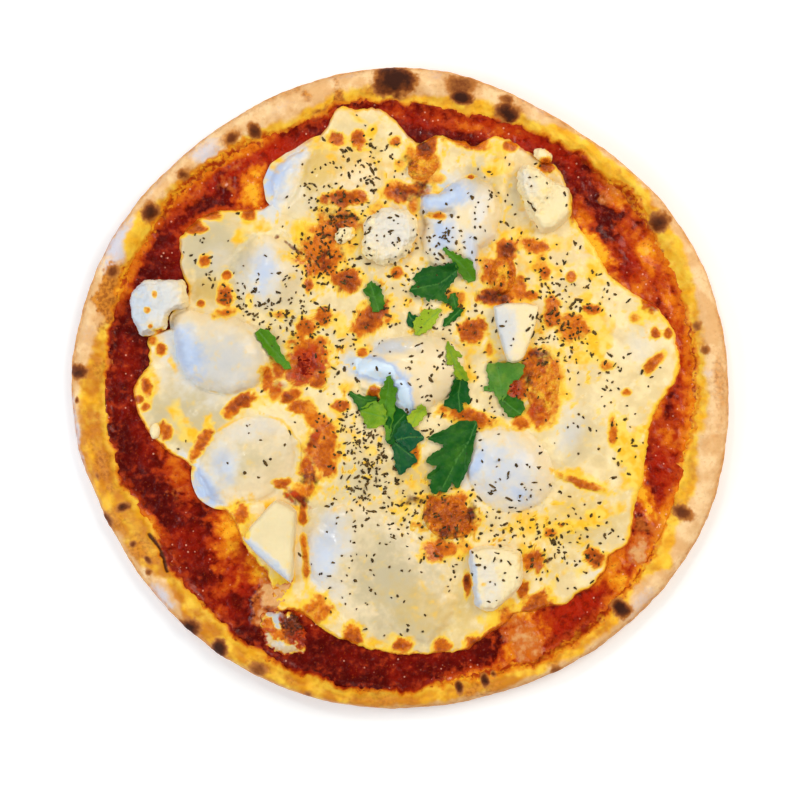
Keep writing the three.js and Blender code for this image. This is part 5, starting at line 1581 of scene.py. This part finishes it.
def makeLeaf(pieceName, leaf):
    shift = np.array(middleOf(leaf["node"])) - leaf["middle"]
    outline = outlineOf(leaf) + shift
    bm = fillOutline(outline)
    x, y = np.array([v.co.xy for v in bm.verts]).T
    skin = skinHeight(x, y)
    terms = np.stack([np.ones(len(x)), x, y, x * x, x * y, y * y], axis=1)
    stiff = terms @ np.linalg.lstsq(terms, skin, rcond=None)[0]  # a plain bow over the bumps of the cheese
    rim = awayFromLine(x, y, [tuple(p) for p in outline] + [tuple(outline[0])])
    veins = [[tuple(np.array(p) + shift) for p in vein] for vein in leaf["veins"]]
    fromVeins = [awayFromLine(x, y, vein) for vein in veins]
    rib = np.exp(-(fromVeins[0] / parsley["rib"]) ** 2)
    for away in fromVeins[1:]:
        rib = np.maximum(rib, parsley["veinShare"] * np.exp(-(away / parsley["vein"]) ** 2))
    seed = 200 + leaves.index(leaf)
    height = np.maximum(stiff + parsley["lift"], skin + parsley["lift"])
    raised = parsley["rim"] * (1 - smooth(0, 2.5, rim)) * (0.6 + cloudy(6, seed, x, y))
    height += leaf["curl"] * (raised + parsley["dish"] * np.minimum(np.min(fromVeins, axis=0), 3.5))
    height += parsley["ripple"] * cloudy(2.4, seed + 40, x, y) - parsley["groove"] * rib
    for v, z in zip(bm.verts, height):
        v.co.z = z
    light = leaf["light"] + 0.12 * cloudy(5, seed + 60, x, y)
    for name, values in (("rib", rib), ("light", light), ("teal", 0 * rib + leaf["teal"])):
        layer = bm.verts.layers.float.new(name)
        for v, value in zip(bm.verts, values):
            v[layer] = float(value)
    lower = bmesh.ops.duplicate(bm, geom=bm.faces[:])["geom"]
    bmesh.ops.translate(bm, verts=[part for part in lower if isinstance(part, bmesh.types.BMVert)],
                        vec=(0, 0, -parsley["thickness"]))
    bmesh.ops.reverse_faces(bm, faces=[part for part in lower if isinstance(part, bmesh.types.BMFace)])
    bmesh.ops.bridge_loops(bm, edges=[e for e in bm.edges if e.is_boundary])
    bmesh.ops.recalc_face_normals(bm, faces=bm.faces)
    bmesh.ops.scale(bm, vec=(mm, mm, mm), verts=bm.verts)
    return toMesh(bm, pieceName)


def parsleyFinish():
    finish = Finish("parsleyLeaf", roughness=0.45, Specular_IOR_Level=0.15)
    fine = finish.grain(0.9, detail=3)
    broad = finish.grain(4, detail=3)
    light, teal, rib = finish.mask("light"), finish.mask("teal"), finish.mask("rib")
    dark = finish.mix(teal, tone(14, 84, 10), tone(6, 78, 44))
    middle = finish.mix(teal, tone(88, 142, 22), tone(60, 116, 58))
    bright = finish.mix(teal, tone(158, 182, 40), tone(134, 164, 80))
    finish.colour = finish.shift(light, 0, 0.5, dark, middle)
    finish.tint(light, 0.5, 1.0, bright)
    finish.tint(broad, 0.46, 0.75, middle, 0.2)
    finish.tint(fine, 0.5, 0.8, dark, 0.3)
    finish.tint(rib, 0.3, 0.95, tone(96, 152, 70), 0.5)
    finish.put("Base Color", finish.colour)
    finish.put("Roughness", finish.band(fine, 0.3, 0.7, 0.34, 0.5))
    finish.letLightIn(0.1, (0.4, 1.0, 0.2), 0.6)
    finish.bump((fine, 0.12), (broad, 0.3))
    return finish.material


leafFinish = parsleyFinish()
for leaf in leaves:
    if "name" in leaf:  # lies over the same node as the leaf before it
        publish(makeLeaf(leaf["name"], leaf), leafFinish)
    else:
        piece = leaf["node"].replace("parsley", "parsley_leaf")
        publish(makeLeaf(piece, leaf), leafFinish, [leaf["node"]])
print("parsley laid")


# dried oregano, as one joined mesh of loose flakes

oregano = {
    "seed": 7, "amount": 1.8,
    "thickness": 0.32, "longest": 4.6, "lift": 0.18,  # mm
    # where it fell thickest: middle x, y, spread and count
    "falls": [
        (-15, 115, 11, 42), (-30, 86, 9, 44), (-38, 68, 9, 50), (20, 76, 9, 30), (-48, 36, 10, 34),
        (-24, -12, 10, 36), (-18, -30, 9, 52), (-16, -46, 10, 52), (8, -60, 10, 40), (30, -76, 9, 26),
        (60, -68, 12, 44), (86, -76, 11, 44), (75, 26, 10, 46), (86, 46, 10, 34), (-86, 44, 7, 20),
        (-74, 39, 7, 20), (-62, 34, 5, 12), (-40, 100, 10, 20), (0, 52, 14, 40), (44, 0, 12, 30),
        (100, 2, 14, 24), (58, 104, 12, 16), (-62, 54, 9, 14), (-10, 78, 8, 14), (50, -42, 13, 14),
        (-28, -82, 15, 24), (-4, -100, 16, 14), (108, -28, 14, 16), (-72, -28, 14, 10), (24, 32, 10, 26),
        (64, 60, 12, 24), (14, -14, 10, 20), (-100, 62, 12, 12), (40, 84, 9, 14), (10, 6, 12, 14),
        (-30, 20, 10, 22), (46, -92, 9, 7), (100, 60, 12, 8),
    ],
    "bare": [(-92, 18, 46, 34, -14), (-121, 40, 32, 30, 0)],  # hardly any: middle x, y, length, width, turn
}


def makeOregano():
    random = np.random.default_rng(oregano["seed"])
    spots = np.concatenate([random.normal((x, y), spread, (round(count * oregano["amount"]), 2))
                            for x, y, spread, count in oregano["falls"]])
    x, y = spots.T
    kept = np.hypot(x, y) < cheeseEdge(x, y) - 2.5
    for midX, midY, length, width, turn in oregano["bare"]:
        kept &= bumpAt(x - midX, y - midY, length, width, turn) == 0
    x, y = x[kept], y[kept]
    under = skinHeight(x, y)
    tops = [piece for piece in scene.objects if piece.name.startswith("cut_")]
    bm = bmesh.new()
    for px, py, pz in zip(x, y, under):
        for piece in tops:
            hit, where = piece.ray_cast(Vector((px, py, 60)) * mm, Vector((0, 0, -1)))[:2]
            if hit:
                pz = max(pz, where.z / mm)
        length = min(oregano["longest"], 1.0 + random.exponential(1.05))
        width = random.uniform(0.5, 1.05) * min(1.7, 0.75 + 0.35 * length)
        flat = Euler((random.normal(0, 0.3), random.normal(0, 0.3), random.uniform(0, 2 * math.pi)))
        size = Matrix.Diagonal((length * mm, width * mm, mm, 1))
        place = Matrix.Translation(Vector((px, py, pz + oregano["lift"])) * mm)
        place = place @ flat.to_matrix().to_4x4() @ size
        made = bmesh.ops.create_cone(bm, cap_ends=True, segments=6, radius1=0.5, radius2=0.4,
                                     depth=oregano["thickness"], matrix=place)["verts"]
        for v in made:
            v.co += Vector(random.normal(0, 0.13 * mm, 3))
    return toMesh(bm, "oregano_flakes")


def oreganoFinish():
    finish = Finish("driedOregano", roughness=0.75, Specular_IOR_Level=0.2)
    patch = finish.grain(2.5, detail=2)
    fine = finish.grain(0.5, detail=2)
    finish.colour = finish.shift(patch, 0.4, 0.6, tone(46, 32, 13), tone(96, 68, 27))
    finish.tint(fine, 0.48, 0.7, tone(132, 108, 54), 0.7)
    finish.put("Base Color", finish.colour)
    finish.put("Roughness", finish.band(fine, 0.3, 0.7, 0.65, 0.9))
    finish.bump((fine, 0.1))
    return finish.material


publish(makeOregano(), oreganoFinish())
print("oregano scattered")
